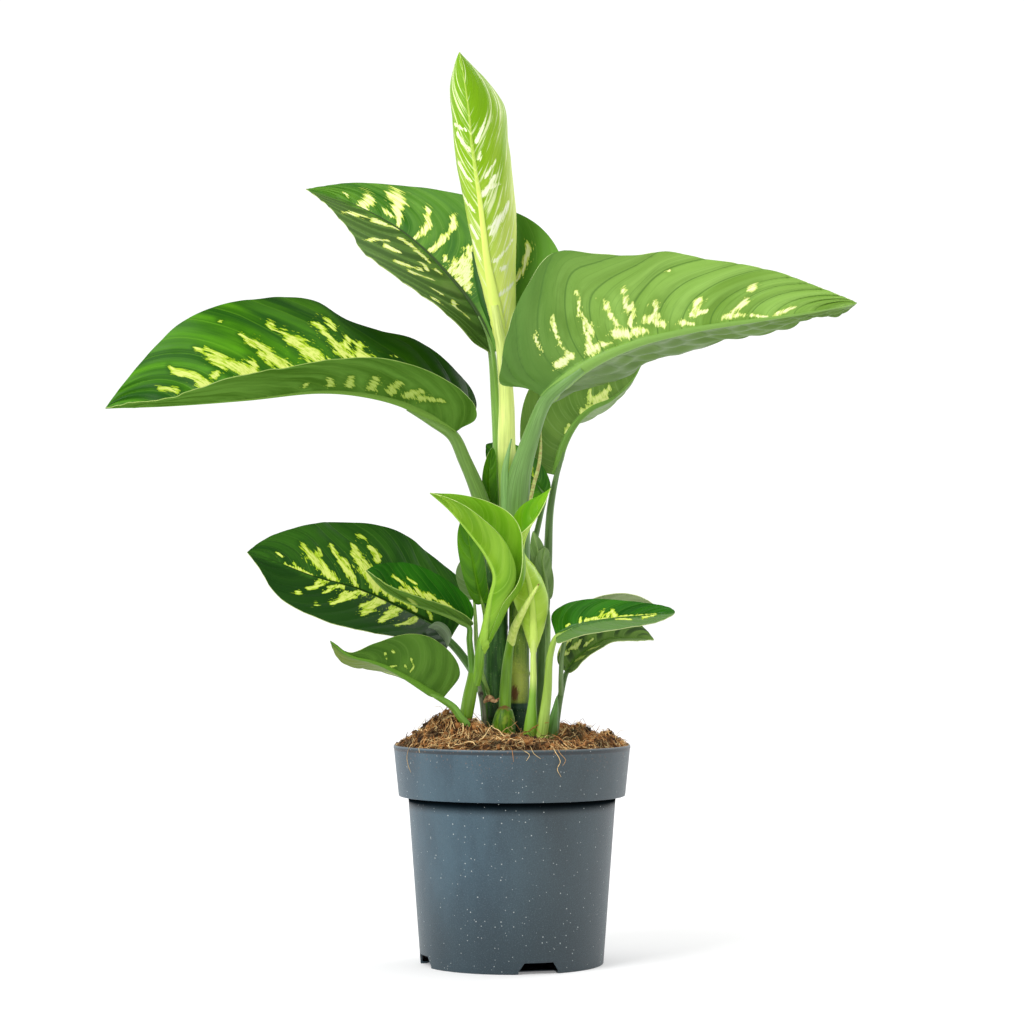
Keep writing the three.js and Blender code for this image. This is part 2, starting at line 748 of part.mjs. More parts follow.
function soilSolid(holes) {
  const inset = innerLine.map(([r, z]) => [r - gap, z + gap]);
  const rim = rimDiameter / 2 - wall - gap - 0.1;
  const points = [];
  for (let ring = 0; ring < soilRings; ring += 1) {
    const radius = (rim * (ring + 1)) / soilRings;
    for (let side = 0; side < potSides; side += 1) {
      const turn = (2 * Math.PI * side) / potSides;
      const x = radius * Math.cos(turn);
      const y = radius * Math.sin(turn);
      const edge = Math.min(1, (rim - radius) / 6);
      points.push(new THREE.Vector3(x, y, potHeight - 1 + (soilHeight(x, y) - potHeight + 1) * edge));
    }
  }
  const foot = inset[0];
  const walls = [inset[2], inset[1], [foot[0], soilFootHeight], [foot[0] - soilFootInset, foot[1]]];
  for (const [radius, z] of walls) {
    for (let side = 0; side < potSides; side += 1) {
      const turn = (2 * Math.PI * side) / potSides;
      points.push(new THREE.Vector3(radius * Math.cos(turn), radius * Math.sin(turn), z));
    }
  }
  const rows = soilRings + walls.length;
  const faces = gridFaces(rows, potSides, 0, true);
  const top = points.push(new THREE.Vector3(0, 0, soilHeight(0, 0))) - 1;
  const bottom = points.push(new THREE.Vector3(0, 0, foot[1])) - 1;
  const last = (rows - 1) * potSides;
  for (let side = 0; side < potSides; side += 1) {
    const next = (side + 1) % potSides;
    faces.push([top, next, side], [bottom, last + side, last + next]);
  }
  const filled = closedSolid(points, faces);
  return largestPiece(holes.reduce((solid, hole) => solid.subtract(hole), filled));
}

// Assembly

const plant = new THREE.Group();
plant.name = "potted_dieffenbachia";

function addNode(name, solid, colour, roughness) {
  const material = new THREE.MeshStandardMaterial({ color: colour, roughness, metalness: 0 });
  const mesh = new THREE.Mesh(toGeometry(solid), material);
  mesh.name = name;
  plant.add(mesh);
}

const grown = {};

for (const [name, stem] of Object.entries(stems)) {
  const join = (grow) => stem.tubes.map((tube) => taperedTube({ ...tube, grow })).reduce((a, b) => a.add(b));
  grown[name] = { solid: join(0), room: join(gap), colour: stem.colour };
}

const ready = Object.fromEntries(Object.entries(leaves).map(([name, leaf]) => [name, readyLeaf(leaf)]));
for (const [name, leaf] of Object.entries(ready)) {
  const stalk = stalkShape(leaf);
  const solid = bladeSolid(leaf).add(taperedTube(stalk));
  grown[name] = { solid, room: taperedTube({ ...stalk, grow: gap }), colour: leaf.colour };
}

for (const [name, leaf] of Object.entries(ready)) {
  const cleared = leaf.clears.reduce((solid, other) => solid.subtract(grown[other].room), grown[name].solid);
  grown[name].solid = largestPiece(cleared);
}

addNode("pot", potSolid(), 0x3b434b, 0.6);
addNode("soil", soilSolid(Object.values(grown).map((piece) => piece.room)), 0x6b4a30, 0.95);
for (const [name, piece] of Object.entries(grown)) {
  addNode(name, piece.solid, piece.colour, 0.5);
}

export default plant;
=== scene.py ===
"""A dieffenbachia in a nursery pot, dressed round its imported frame.

Lengths are millimetres where nothing else is said, in the frame of the solids: +Z up, -Y the front. The
shaders and the tables of looks measure in centimetres.
"""

import math
from itertools import combinations

import bpy
import numpy as np
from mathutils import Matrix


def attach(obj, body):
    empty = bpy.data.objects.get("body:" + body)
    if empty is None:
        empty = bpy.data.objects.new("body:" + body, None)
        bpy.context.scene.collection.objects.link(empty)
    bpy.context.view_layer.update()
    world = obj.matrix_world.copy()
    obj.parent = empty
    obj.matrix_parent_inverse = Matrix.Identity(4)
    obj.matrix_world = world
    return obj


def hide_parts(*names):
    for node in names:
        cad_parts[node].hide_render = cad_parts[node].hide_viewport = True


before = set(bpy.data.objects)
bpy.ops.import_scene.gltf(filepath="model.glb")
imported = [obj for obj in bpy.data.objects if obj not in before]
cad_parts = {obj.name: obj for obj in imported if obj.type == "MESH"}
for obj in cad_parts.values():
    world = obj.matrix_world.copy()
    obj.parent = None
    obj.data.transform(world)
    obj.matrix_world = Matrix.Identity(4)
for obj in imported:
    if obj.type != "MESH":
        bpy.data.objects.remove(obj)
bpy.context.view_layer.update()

MM = 0.001

# Pot
RIM_RADIUS = 85.0
POT_HEIGHT = 156.0
BAND_HEIGHT = 36.5
LIP_HEIGHT = 2.4
BAND_FOOT_RADIUS = 81.25
BODY_TOP_RADIUS = 74.5
BODY_FOOT_RADIUS = 65.5
WALL = 1.3
POT_SIDES = 192
NOTCH_COUNT = 4
NOTCH_TURN = 16.7
NOTCH_WIDTH = 29.0
NOTCH_TOP_WIDTH = 21.0
NOTCH_HEIGHT = 8.0
NOTCH_REACH = 12.0
POT_SHARP_ANGLE = 40
# Pale flecks: cells a centimetre, a fleck's size in its cell, and the share of cells with one.
POT_FLECKS = [(2.4, 0.13, 0.3), (4.2, 0.17, 0.16)]

# Growing mix: heaps as (x, y, height, spread), and roughness as (height, hills a millimetre).
SOIL_RIM = 158.0
SOIL_EDGE = 6.0
SOIL_ROUGHNESS = [(2.2, 0.16), (1.1, 0.45)]
SOIL_HEAPS = [
    (-50, -30, 19, 17), (-26, -38, 12, 16), (46, -30, 14, 11), (68, -28, 8, 9),
    (0, 10, 11, 30), (4, -58, 4, 18), (-40, 34, 9, 20), (40, 36, 8, 18),
]
SOIL_RINGS = 64
SOIL_SIDES = 180
FIBRES = 5400
CRUMBS = 1500
STANDING_SHARE = 0.06
# The place of a mossy clump in centimetres.
MOSSY_CLUMP = (4.3, -4.4, 16.8)
# Fine roots that hang over the rim: radius, tone, and places as (x, reach from the pot's axis, z).
ROOT_HAIRS = [
    (0.26, 0.7, [(-66, 78, 158), (-70, 84.5, 158.5), (-72.5, 86.0, 155), (-73.8, 85.2, 150),
                 (-73.1, 84.6, 144), (-71, 84.0, 138.6)]),
    (0.2, 0.95, [(-60, 78, 158), (-64, 84.8, 158), (-65, 86.0, 156), (-64.4, 85.6, 153)]),
    (0.22, 0.5, [(-2, 78, 158), (-0.5, 84.8, 158), (0.3, 86.0, 155), (1, 85.1, 148.3)]),
    (0.26, 0.8, [(2, 78, 159), (5, 85.0, 158), (7.9, 86.1, 156), (12, 85.7, 153), (9.9, 85.2, 149)]),
    (0.28, 0.75, [(25, 78, 159), (27.8, 85.0, 158.4), (29.8, 86.1, 155), (33.3, 85.1, 148.2),
                  (31.2, 84.6, 142.8), (34, 84.0, 137.3)]),
    (0.2, 0.6, [(30, 78, 159), (31, 85.0, 158.4), (33, 86.1, 154), (37, 85.3, 149), (35, 84.9, 145)]),
    (0.18, 0.9, [(12, 80, 159), (13, 85.0, 158), (15, 86.1, 154), (20, 85.4, 150)]),
]

# Leaves
BLADE_AT_RIB = 0.9
BLADE_AT_MARGIN = 0.55
RIB_REACH = 0.96
ROOT_DEPTH = 26
BIG_LEAF = 100.0
BIG_LEAF_GRID = (150, 42)
SMALL_LEAF_GRID = (80, 24)
RIB_STEPS = 240
STRIP_COLUMNS = 14
SHARP_ANGLE = 55
HILLS = 64
SEED = 7
VEIN_ARCH = (0.15, 2.3)
SLIMMEST_BLOTCH = 1.1
RIDGE = 0.65
LEAF_SHINE = 0.2

# Stage: the floor glows less near the pot than far off, and the surroundings less in front than behind.
# Lights as (name, place and size in metres, power in watts); the glow's reach is in centimetres.
FLOOR_REACH = 30000.0
FLOOR_GLOW_REACH = (40.0, 220.0)
FLOOR_GLOW = (0.2, 0.4)
SURROUND_TURN = (-0.95, 0.15)
SURROUND_GLOW = (0.4, 1.08)
LIGHT_AIM = (0, 0, 0.3)
LIGHTS = [("key", (-1.3, -1.5, 1.9), 1.1, 45), ("rim", (1.4, 1.2, 1.5), 1.0, 14)]

# Camera: place in metres, pitch in degrees, lens and sensor in millimetres, range in metres.
CAMERA_PLACE = (0.0, -1.93, 0.251)
CAMERA_PITCH = 2.14
CAMERA_LENS = 94.18
CAMERA_SENSOR = 36
CAMERA_RANGE = 200

# Each leaf: its stalk from root to blade with its radii, its midrib from blade base to tip, the ways its
# upper side faces, and for each half, seen from above and from base to tip, its width, and its lift and curl
# in degrees.
LEAVES = {
    "leaf_spear": {
        "stalk": [[1, 8, 270], [-3, 7, 332], [-4, 4, 375], [-4, 1, 404], [-7, 0, 440]],
        "radii": [6, 6.5, 6.5, 6.5, 5.5],
        "rib": [[-7, 0, 440], [-13, -4, 476], [-18, -6, 505], [-23, -8, 547], [-29, -8, 589],
                [-31, -6, 611], [-34, -3, 633], [-38, 0, 657]],
        "face": [[0.1, 1, 0], [0.1, 1, 0]],
        "outline": {"peak": 0.55, "round": 0.35, "point": 0.9, "lobe": 0, "sweep": 0.1},
        "right": {"width": [28, 33, 38, 40, 64], "lift": 0, "curl": [180, 170, 110]},
        "left": {"width": [40, 42, 45, 47, 47, 45, 45, 50, 65, 71, 90], "lift": [5, 5, 10],
                 "curl": [100, 100, 80], "point": 1.3},
    },
    "leaf_upper_left": {
        "stalk": [[-9, 8, 270], [-9, 17, 332], [-10, 18, 369], [-12, 18, 405], [-15, 19, 440]],
        "radii": [5, 5, 4.5, 4, 3.5],
        "rib": [[-15, 19, 440], [-21, 28, 460], [-33, 40, 482], [-50, 54, 504], [-65, 65, 521],
                [-88, 79, 541], [-125, 92, 562], [-157, 100, 573]],
        "face": [[-0.3, -0.9, 0.3], [-0.3, -0.9, 0.3]],
        "outline": {"peak": 0.32, "point": 1.15},
        "right": {"width": [80, 80, 57, 39, 34, 33], "lift": 0},
        "left": {"width": [40, 60, 62, 52, 40, 34], "lift": [74, 62, 54, 46, 38]},
        "wave": {"height": 0.6, "count": 3, "phase": 0.2},
    },
    "leaf_right": {
        "stalk": [[5, -5, 262], [4, -7, 290], [3, -9, 317], [5, -14, 346], [12, -20, 371], [24, -28, 402]],
        "radii": [8.6, 9, 10, 9, 7, 5.4],
        "rib": [[24, -28, 402], [36, -33, 414], [51, -38, 425], [86, -48, 440], [130, -54, 450],
                [173, -57, 456], [214, -58, 462], [242, -56, 468]],
        "face": [[-0.1, 0.85, 0.5], [0, 0.9, 0.4], [0, 0.9, 0.4], [0, 0.75, 0.6]],
        "outline": {"peak": 0.3, "round": 0.5, "point": 0.95, "lobe": 0.14},
        "right": {"width": [44, 45, 47, 57, 73, 84, 70, 61, 60, 55, 51, 50, 49, 48, 47,
                            45, 43, 41, 38, 37, 36],
                  "lift": [5, 5, 15, 20]},
        "left": {"width": [4, 12, 84, 59, 76, 52, 64, 45, 26, 50, 60], "lift": [50, 55, 60, 56, 40],
                 "point": 0.6},
        "wave": {"height": 1, "count": 5, "phase": 0.1},
    },
    "leaf_left": {
        "stalk": [[-12, -2, 270], [-13, -3, 290], [-16, -4, 310], [-25, -8, 339], [-34, -11, 360],
                  [-42, -14, 378]],
        "radii": [6, 6.3, 6.3, 5.8, 5, 4.5],
        "rib": [[-42, -14, 378], [-58, -17, 390], [-77, -19, 400], [-105, -21, 407], [-137, -23, 409],
                [-189, -26, 403], [-245, -29, 398], [-289, -30, 396]],
        "face": [[0, -0.3, 0.95], [0, -0.3, 0.95]],
        "outline": {"peak": 0.42, "round": 0.5, "lobe": 0.09},
        "right": {"width": [72, 75, 77, 77, 82, 75, 76, 90, 89, 84, 82, 81, 81, 82, 83,
                            82, 81, 78, 74, 70, 66],
                  "lift": [30, 28, 34, 50, 52, 50]},
        "left": {"width": [52, 53, 54, 59, 66, 68, 70, 70, 70, 70, 70], "lift": [64, 46, 33, 26, 20, 16]},
        "wave": {"height": 1.5, "count": 3, "phase": 0.4},
    },
    "leaf_back_right": {
        "stalk": [[20, 8, 167 - ROOT_DEPTH], [21, 9, 167], [22, 18, 231], [26, 24, 289], [28, 27, 326],
                  [32, 28, 351]],
        "radii": [4.5, 4.5, 4.3, 4, 3.8, 3],
        "rib": [[32, 28, 351], [37, 30, 372], [47, 33, 390], [59, 38, 401], [73, 44, 408], [89, 54, 423],
                [97, 62, 437]],
        "face": [[-0.6, 0.6, 0.5], [-0.6, 0.6, 0.5]],
        "outline": {"peak": 0.36},
        "right": {"width": [30, 44, 44, 42], "lift": [50, 50, 40]},
        "left": {"width": 50, "lift": [40, 40, 30]},
    },
    "leaf_back_dark": {
        "stalk": [[6, 18, 167 - ROOT_DEPTH], [6, 18, 167], [8, 18, 231], [14, 15, 290], [21, 14, 322],
                  [24, 15, 336]],
        "radii": [3, 3, 3, 2.8, 2.6, 2.4],
        "rib": [[24, 15, 336], [13, 18, 350], [-2, 24, 362], [-19, 31, 374]],
        "face": [[0, -1, 0], [0, -1, 0]],
        "right": {"width": 13, "lift": 0},
        "left": {"width": 18, "lift": 0},
    },
    "leaf_bud_left": {
        "stalk": [[-14, 6, 290], [-14, 6, 306], [-14, 6, 317]],
        "radii": [1.6, 1.5, 1.4],
        "rib": [[-14, 6, 317], [-16, 7, 331], [-17, 7, 350], [-14, 8, 370]],
        "face": [[0, -1, 0], [0, -1, 0]],
        "outline": {"round": 0.5, "point": 0.6, "lobe": 0, "sweep": 0.1},
        "right": {"width": 6, "lift": 0},
        "left": {"width": 5, "lift": 20},
    },
    "leaf_low_left": {
        "stalk": [[-18, -13, 167 - ROOT_DEPTH], [-19, -13, 167], [-21, -13, 190], [-25, -12, 203],
                  [-33, -10, 216], [-39, -11, 224], [-45, -13, 231]],
        "radii": [2.4, 2.4, 2.6, 2.8, 3, 3, 3],
        "rib": [[-45, -13, 231], [-58, -18, 243], [-81, -26, 255], [-108, -34, 267], [-143, -42, 277],
                [-170, -47, 288], [-186, -50, 293]],
        "face": [[0.1, -0.8, 0.6], [0.1, -0.8, 0.6]],
        "outline": {"peak": 0.42, "round": 0.55},
        "right": {"width": [70, 66, 56, 53, 50], "lift": 0},
        "left": {"width": [40, 44, 44, 38, 26], "lift": [30, 20, 10, 0]},
        "wave": {"height": 1, "count": 3, "phase": 0.3},
    },
    "leaf_low_left_small": {
        "stalk": [[-27, -34, 196], [-28, -34, 210], [-29, -36, 221], [-30, -40, 231], [-30, -44, 241]],
        "radii": [3, 3, 2.6, 2.3, 2.1],
        "rib": [[-30, -44, 241], [-40, -49, 247], [-53, -54, 252], [-66, -58, 256], [-79, -62, 261],
                [-89, -65, 267], [-96, -68, 274], [-101, -70, 280]],
        "face": [[0.1, -0.6, 0.8], [0.1, -0.6, 0.8]],
        "outline": {"round": 0.5, "point": 0.75},
        "right": {"width": [23, 28, 31, 34], "lift": [35, 30, 15]},
        "left": {"width": [14, 14, 13, 8], "lift": 58},
    },
    "leaf_low_turned": {
        "stalk": [[-27, -40, 170 - ROOT_DEPTH], [-31, -41, 170], [-36, -43, 177], [-41, -45, 184],
                  [-49, -48, 190]],
        "radii": [3, 3, 3, 2.8, 2.6],
        "rib": [[-49, -48, 190], [-63, -54, 199], [-74, -58, 206], [-87, -62, 213], [-98, -65, 217],
                [-113, -68, 221], [-126, -70, 231]],
        "face": [[0, 0.9, 0.4], [0, 0.9, 0.4]],
        "outline": {"peak": 0.3, "round": 0.45, "point": 1},
        "right": {"width": 24, "lift": [70, 60, 45, 30]},
        "left": {"width": [29, 34, 33, 17, 3, 5], "lift": 0, "sweep": 0.1},
    },
    "leaf_young_left": {
        "stalk": [[-26, -34, 200], [-24, -37, 209], [-22, -42, 219]],
        "radii": [3.6, 3.6, 3.6],
        "rib": [[-22, -42, 219], [-18, -50, 238], [-14, -56, 259], [-11, -58, 276], [-17, -59, 290],
                [-29, -61, 306], [-43, -64, 322], [-57, -66, 334]],
        "face": [[1, 0.1, -0.1], [1, 0.1, 0], [0.7, 0.1, 0.6], [0.7, 0.1, 0.7]],
        "outline": {"peak": 0.52, "round": 0.9, "point": 1, "lobe": 0, "sweep": 0.05},
        "right": {"width": [38, 38, 40, 33, 24], "lift": [0, 0, 60, 80], "curl": [270, 260, 100, 30]},
        "left": {"width": [15, 16, 20, 22, 22], "lift": [0, 0, 25, 40], "curl": [150, 130, 30, 0]},
    },
    "leaf_young_right": {
        "stalk": [[12, -31, 162 - ROOT_DEPTH], [13, -32, 162], [14, -34, 182], [15, -36, 200],
                  [15, -39, 220]],
        "radii": [5.4, 5.4, 4.9, 2.9, 2.4],
        "rib": [[15, -39, 220], [15, -43, 242], [13, -43, 266], [7, -41, 291], [9, -43, 304],
                [18, -46, 321], [27, -50, 338]],
        "face": [[0, 1, 0], [0, 1, 0], [-0.3, 0.9, 0], [-0.7, -0.5, 0.5], [-0.7, -0.6, 0.4]],
        "outline": {"peak": 0.45, "round": 0.9, "point": 1, "lobe": 0, "sweep": 0.05},
        "right": {"width": [22, 24, 24, 14, 14, 14, 14], "lift": [0, 0, 10, 10], "curl": [110, 110, 60, 0]},
        "left": {"width": [22, 24, 26, 22, 18, 26, 20], "lift": [0, 0, 20, 20], "curl": [110, 110, 60, 0]},
    },
    "leaf_low_right": {
        "stalk": [[20, -37, 162 - ROOT_DEPTH], [21, -38, 162], [25, -40, 196], [27, -42, 221],
                  [31, -44, 234]],
        "radii": [4.2, 4.2, 4, 3.3, 2.6],
        "rib": [[31, -44, 234], [38, -46, 238], [48, -48, 242], [69, -51, 246], [98, -54, 249],
                [114, -56, 251]],
        "face": [[0, -0.6, 0.8], [0, -0.6, 0.8]],
        "outline": {"peak": 0.3, "round": 0.5, "point": 0.6},
        "right": {"width": [16, 18, 20], "lift": 10},
        "left": {"width": [28, 23, 17, 15, 13], "lift": 10},
    },
    "leaf_low_right_back": {
        "stalk": [[29, -9, 166 - ROOT_DEPTH], [31, -8, 167], [35, -6, 192], [39, -4, 208]],
        "radii": [3, 3, 2.6, 2.3],
        "rib": [[39, -4, 208], [46, -2, 217], [55, 0, 224], [68, 4, 231], [85, 10, 232], [103, 16, 231]],
        "face": [[0, -0.5, 0.85], [0, -0.5, 0.85]],
        "right": {"width": [14, 12, 9, 8], "lift": [20, 20, 10]},
        "left": {"width": 20, "lift": [50, 50, 40]},
    },
    "leaf_low_right_far": {
        "stalk": [[35, -6, 190], [35, -11, 205], [36, -13, 222], [40, -11, 237], [46, -9, 245]],
        "radii": [1.8, 1.8, 1.7, 1.6, 1.5],
        "rib": [[46, -9, 245], [57, -7, 254], [77, -3, 258], [104, 2, 255]],
        "face": [[0, 0.5, 0.85], [0, 0.5, 0.85]],
        "right": {"width": 10, "lift": 10},
        "left": {"width": 12, "lift": 10},
    },
    "leaf_small_left": {
        "stalk": [[-14, -4, 230], [-18, -16, 243], [-21, -26, 257]],
        "radii": [1.8, 1.7, 1.5],
        "rib": [[-21, -26, 257], [-25, -31, 272], [-28, -34, 288], [-31, -35, 305], [-32, -35, 322]],
        "face": [[-0.2, -1, 0], [-0.2, -1, 0]],
        "outline": {"round": 0.5, "point": 0.8},
        "right": {"width": 9, "lift": 10},
        "left": {"width": 9, "lift": 10},
    },
    "leaf_small_left_grey": {
        "stalk": [[-14, -3, 185], [-21, -13, 205], [-25, -17, 224], [-26, -20, 245], [-27, -21, 260]],
        "radii": [1.8, 1.8, 1.8, 1.7, 1.5],
        "rib": [[-27, -21, 260], [-29, -22, 271], [-31, -23, 281], [-33, -24, 291]],
        "face": [[0.3, 1, 0], [0.3, 1, 0]],
        "right": {"width": 11, "lift": 10},
        "left": {"width": 6, "lift": 10},
    },
    "leaf_small_right": {
        "stalk": [[23, -8, 166 - ROOT_DEPTH], [24, -8, 167], [25, -10, 210], [25, -12, 245]],
        "radii": [1.9, 1.9, 1.8, 1.6],
        "rib": [[25, -12, 245], [24, -13, 258], [22, -15, 276], [19, -18, 292], [15, -20, 309]],
        "face": [[0, 1, 0], [0, 1, 0]],
        "right": {"width": [3, 5, 7, 8], "lift": 10},
        "left": {"width": [3, 5, 7, 8], "lift": 10},
    },
    "leaf_small_right_front": {
        "stalk": [[25, -10, 215], [26, -14, 232], [26, -16, 248], [25, -17, 260]],
        "radii": [1.7, 1.6, 1.5, 1.4],
        "rib": [[25, -17, 260], [24, -18, 274], [22, -19, 287], [24, -20, 297]],
        "face": [[0, 1, 0], [0, 1, 0]],
        "outline": {"round": 0.5, "point": 0.6},
        "right": {"width": 6, "lift": 0},
        "left": {"width": 6, "lift": 0},
    },
}

# Sets of leaf colours, each with the tones that are named first.
TONES = ("deep", "mid", "blotch", "cream", "rib", "vein")
GREENS = {
    "dark": ((30, 84, 2), (84, 150, 10), (168, 200, 30), (222, 232, 124), (52, 104, 22), (104, 164, 30)),
    "shade": ((30, 72, 16), (54, 102, 24), (168, 198, 40), (216, 228, 116), (34, 66, 14), (80, 128, 42)),
    "vivid": ((18, 78, 2), (44, 112, 10), (180, 206, 40), (222, 232, 120), (60, 108, 24), (84, 134, 44)),
    "leafy": ((54, 108, 0), (82, 138, 2), (170, 198, 70), (216, 228, 126), (90, 142, 20), (104, 156, 30)),
    "fresh": ((46, 102, 10), (98, 148, 44), (206, 220, 90), (236, 240, 180), (70, 92, 52), (112, 152, 66)),
    "underside": ((108, 148, 50), (146, 188, 86), (204, 220, 110), (240, 244, 190), (126, 166, 76),
                  (72, 114, 38)),
    "olive": ((54, 92, 16), (78, 118, 34), (164, 190, 70), (184, 204, 104), (90, 134, 38), (100, 136, 56)),
    "folded": ((64, 102, 28), (92, 134, 50), (146, 172, 66), (170, 192, 96), (112, 150, 62), (98, 136, 50)),
    "dull": ((82, 116, 42), (106, 140, 58), (176, 200, 88), (210, 220, 136), (104, 146, 56),
             (126, 158, 84)),
    "grey": ((96, 126, 66), (130, 158, 98), (190, 208, 108), (216, 224, 150), (132, 160, 96),
             (150, 174, 122)),
    "pale": ((128, 148, 96), (156, 174, 124), (190, 208, 108), (216, 224, 150), (142, 160, 110),
             (174, 190, 150)),
    "spear": ((128, 172, 22), (156, 190, 58), (226, 236, 176), (246, 248, 222), (222, 240, 120),
              (180, 208, 88)),
    "lime": ((98, 146, 20), (130, 174, 44), (196, 220, 110), (222, 234, 160), (150, 192, 66),
             (150, 190, 70)),
    "young": ((158, 200, 48), (184, 218, 80), (196, 220, 110), (222, 234, 160), (196, 224, 100),
              (200, 226, 104)),
    "inner": ((88, 156, 0), (126, 182, 12), (176, 208, 80), (206, 226, 120), (150, 194, 50),
              (140, 188, 44)),
    "inner_pale": ((112, 172, 24), (146, 200, 50), (176, 208, 80), (206, 226, 120), (160, 204, 66),
                   (156, 204, 64)),
}

# What holds for a leaf where its own look below doesn't say otherwise.
COMMON_LOOK = {"slot": "mature_leaf", "under": "dull", "gloss": 0.4, "right": [], "left": []}

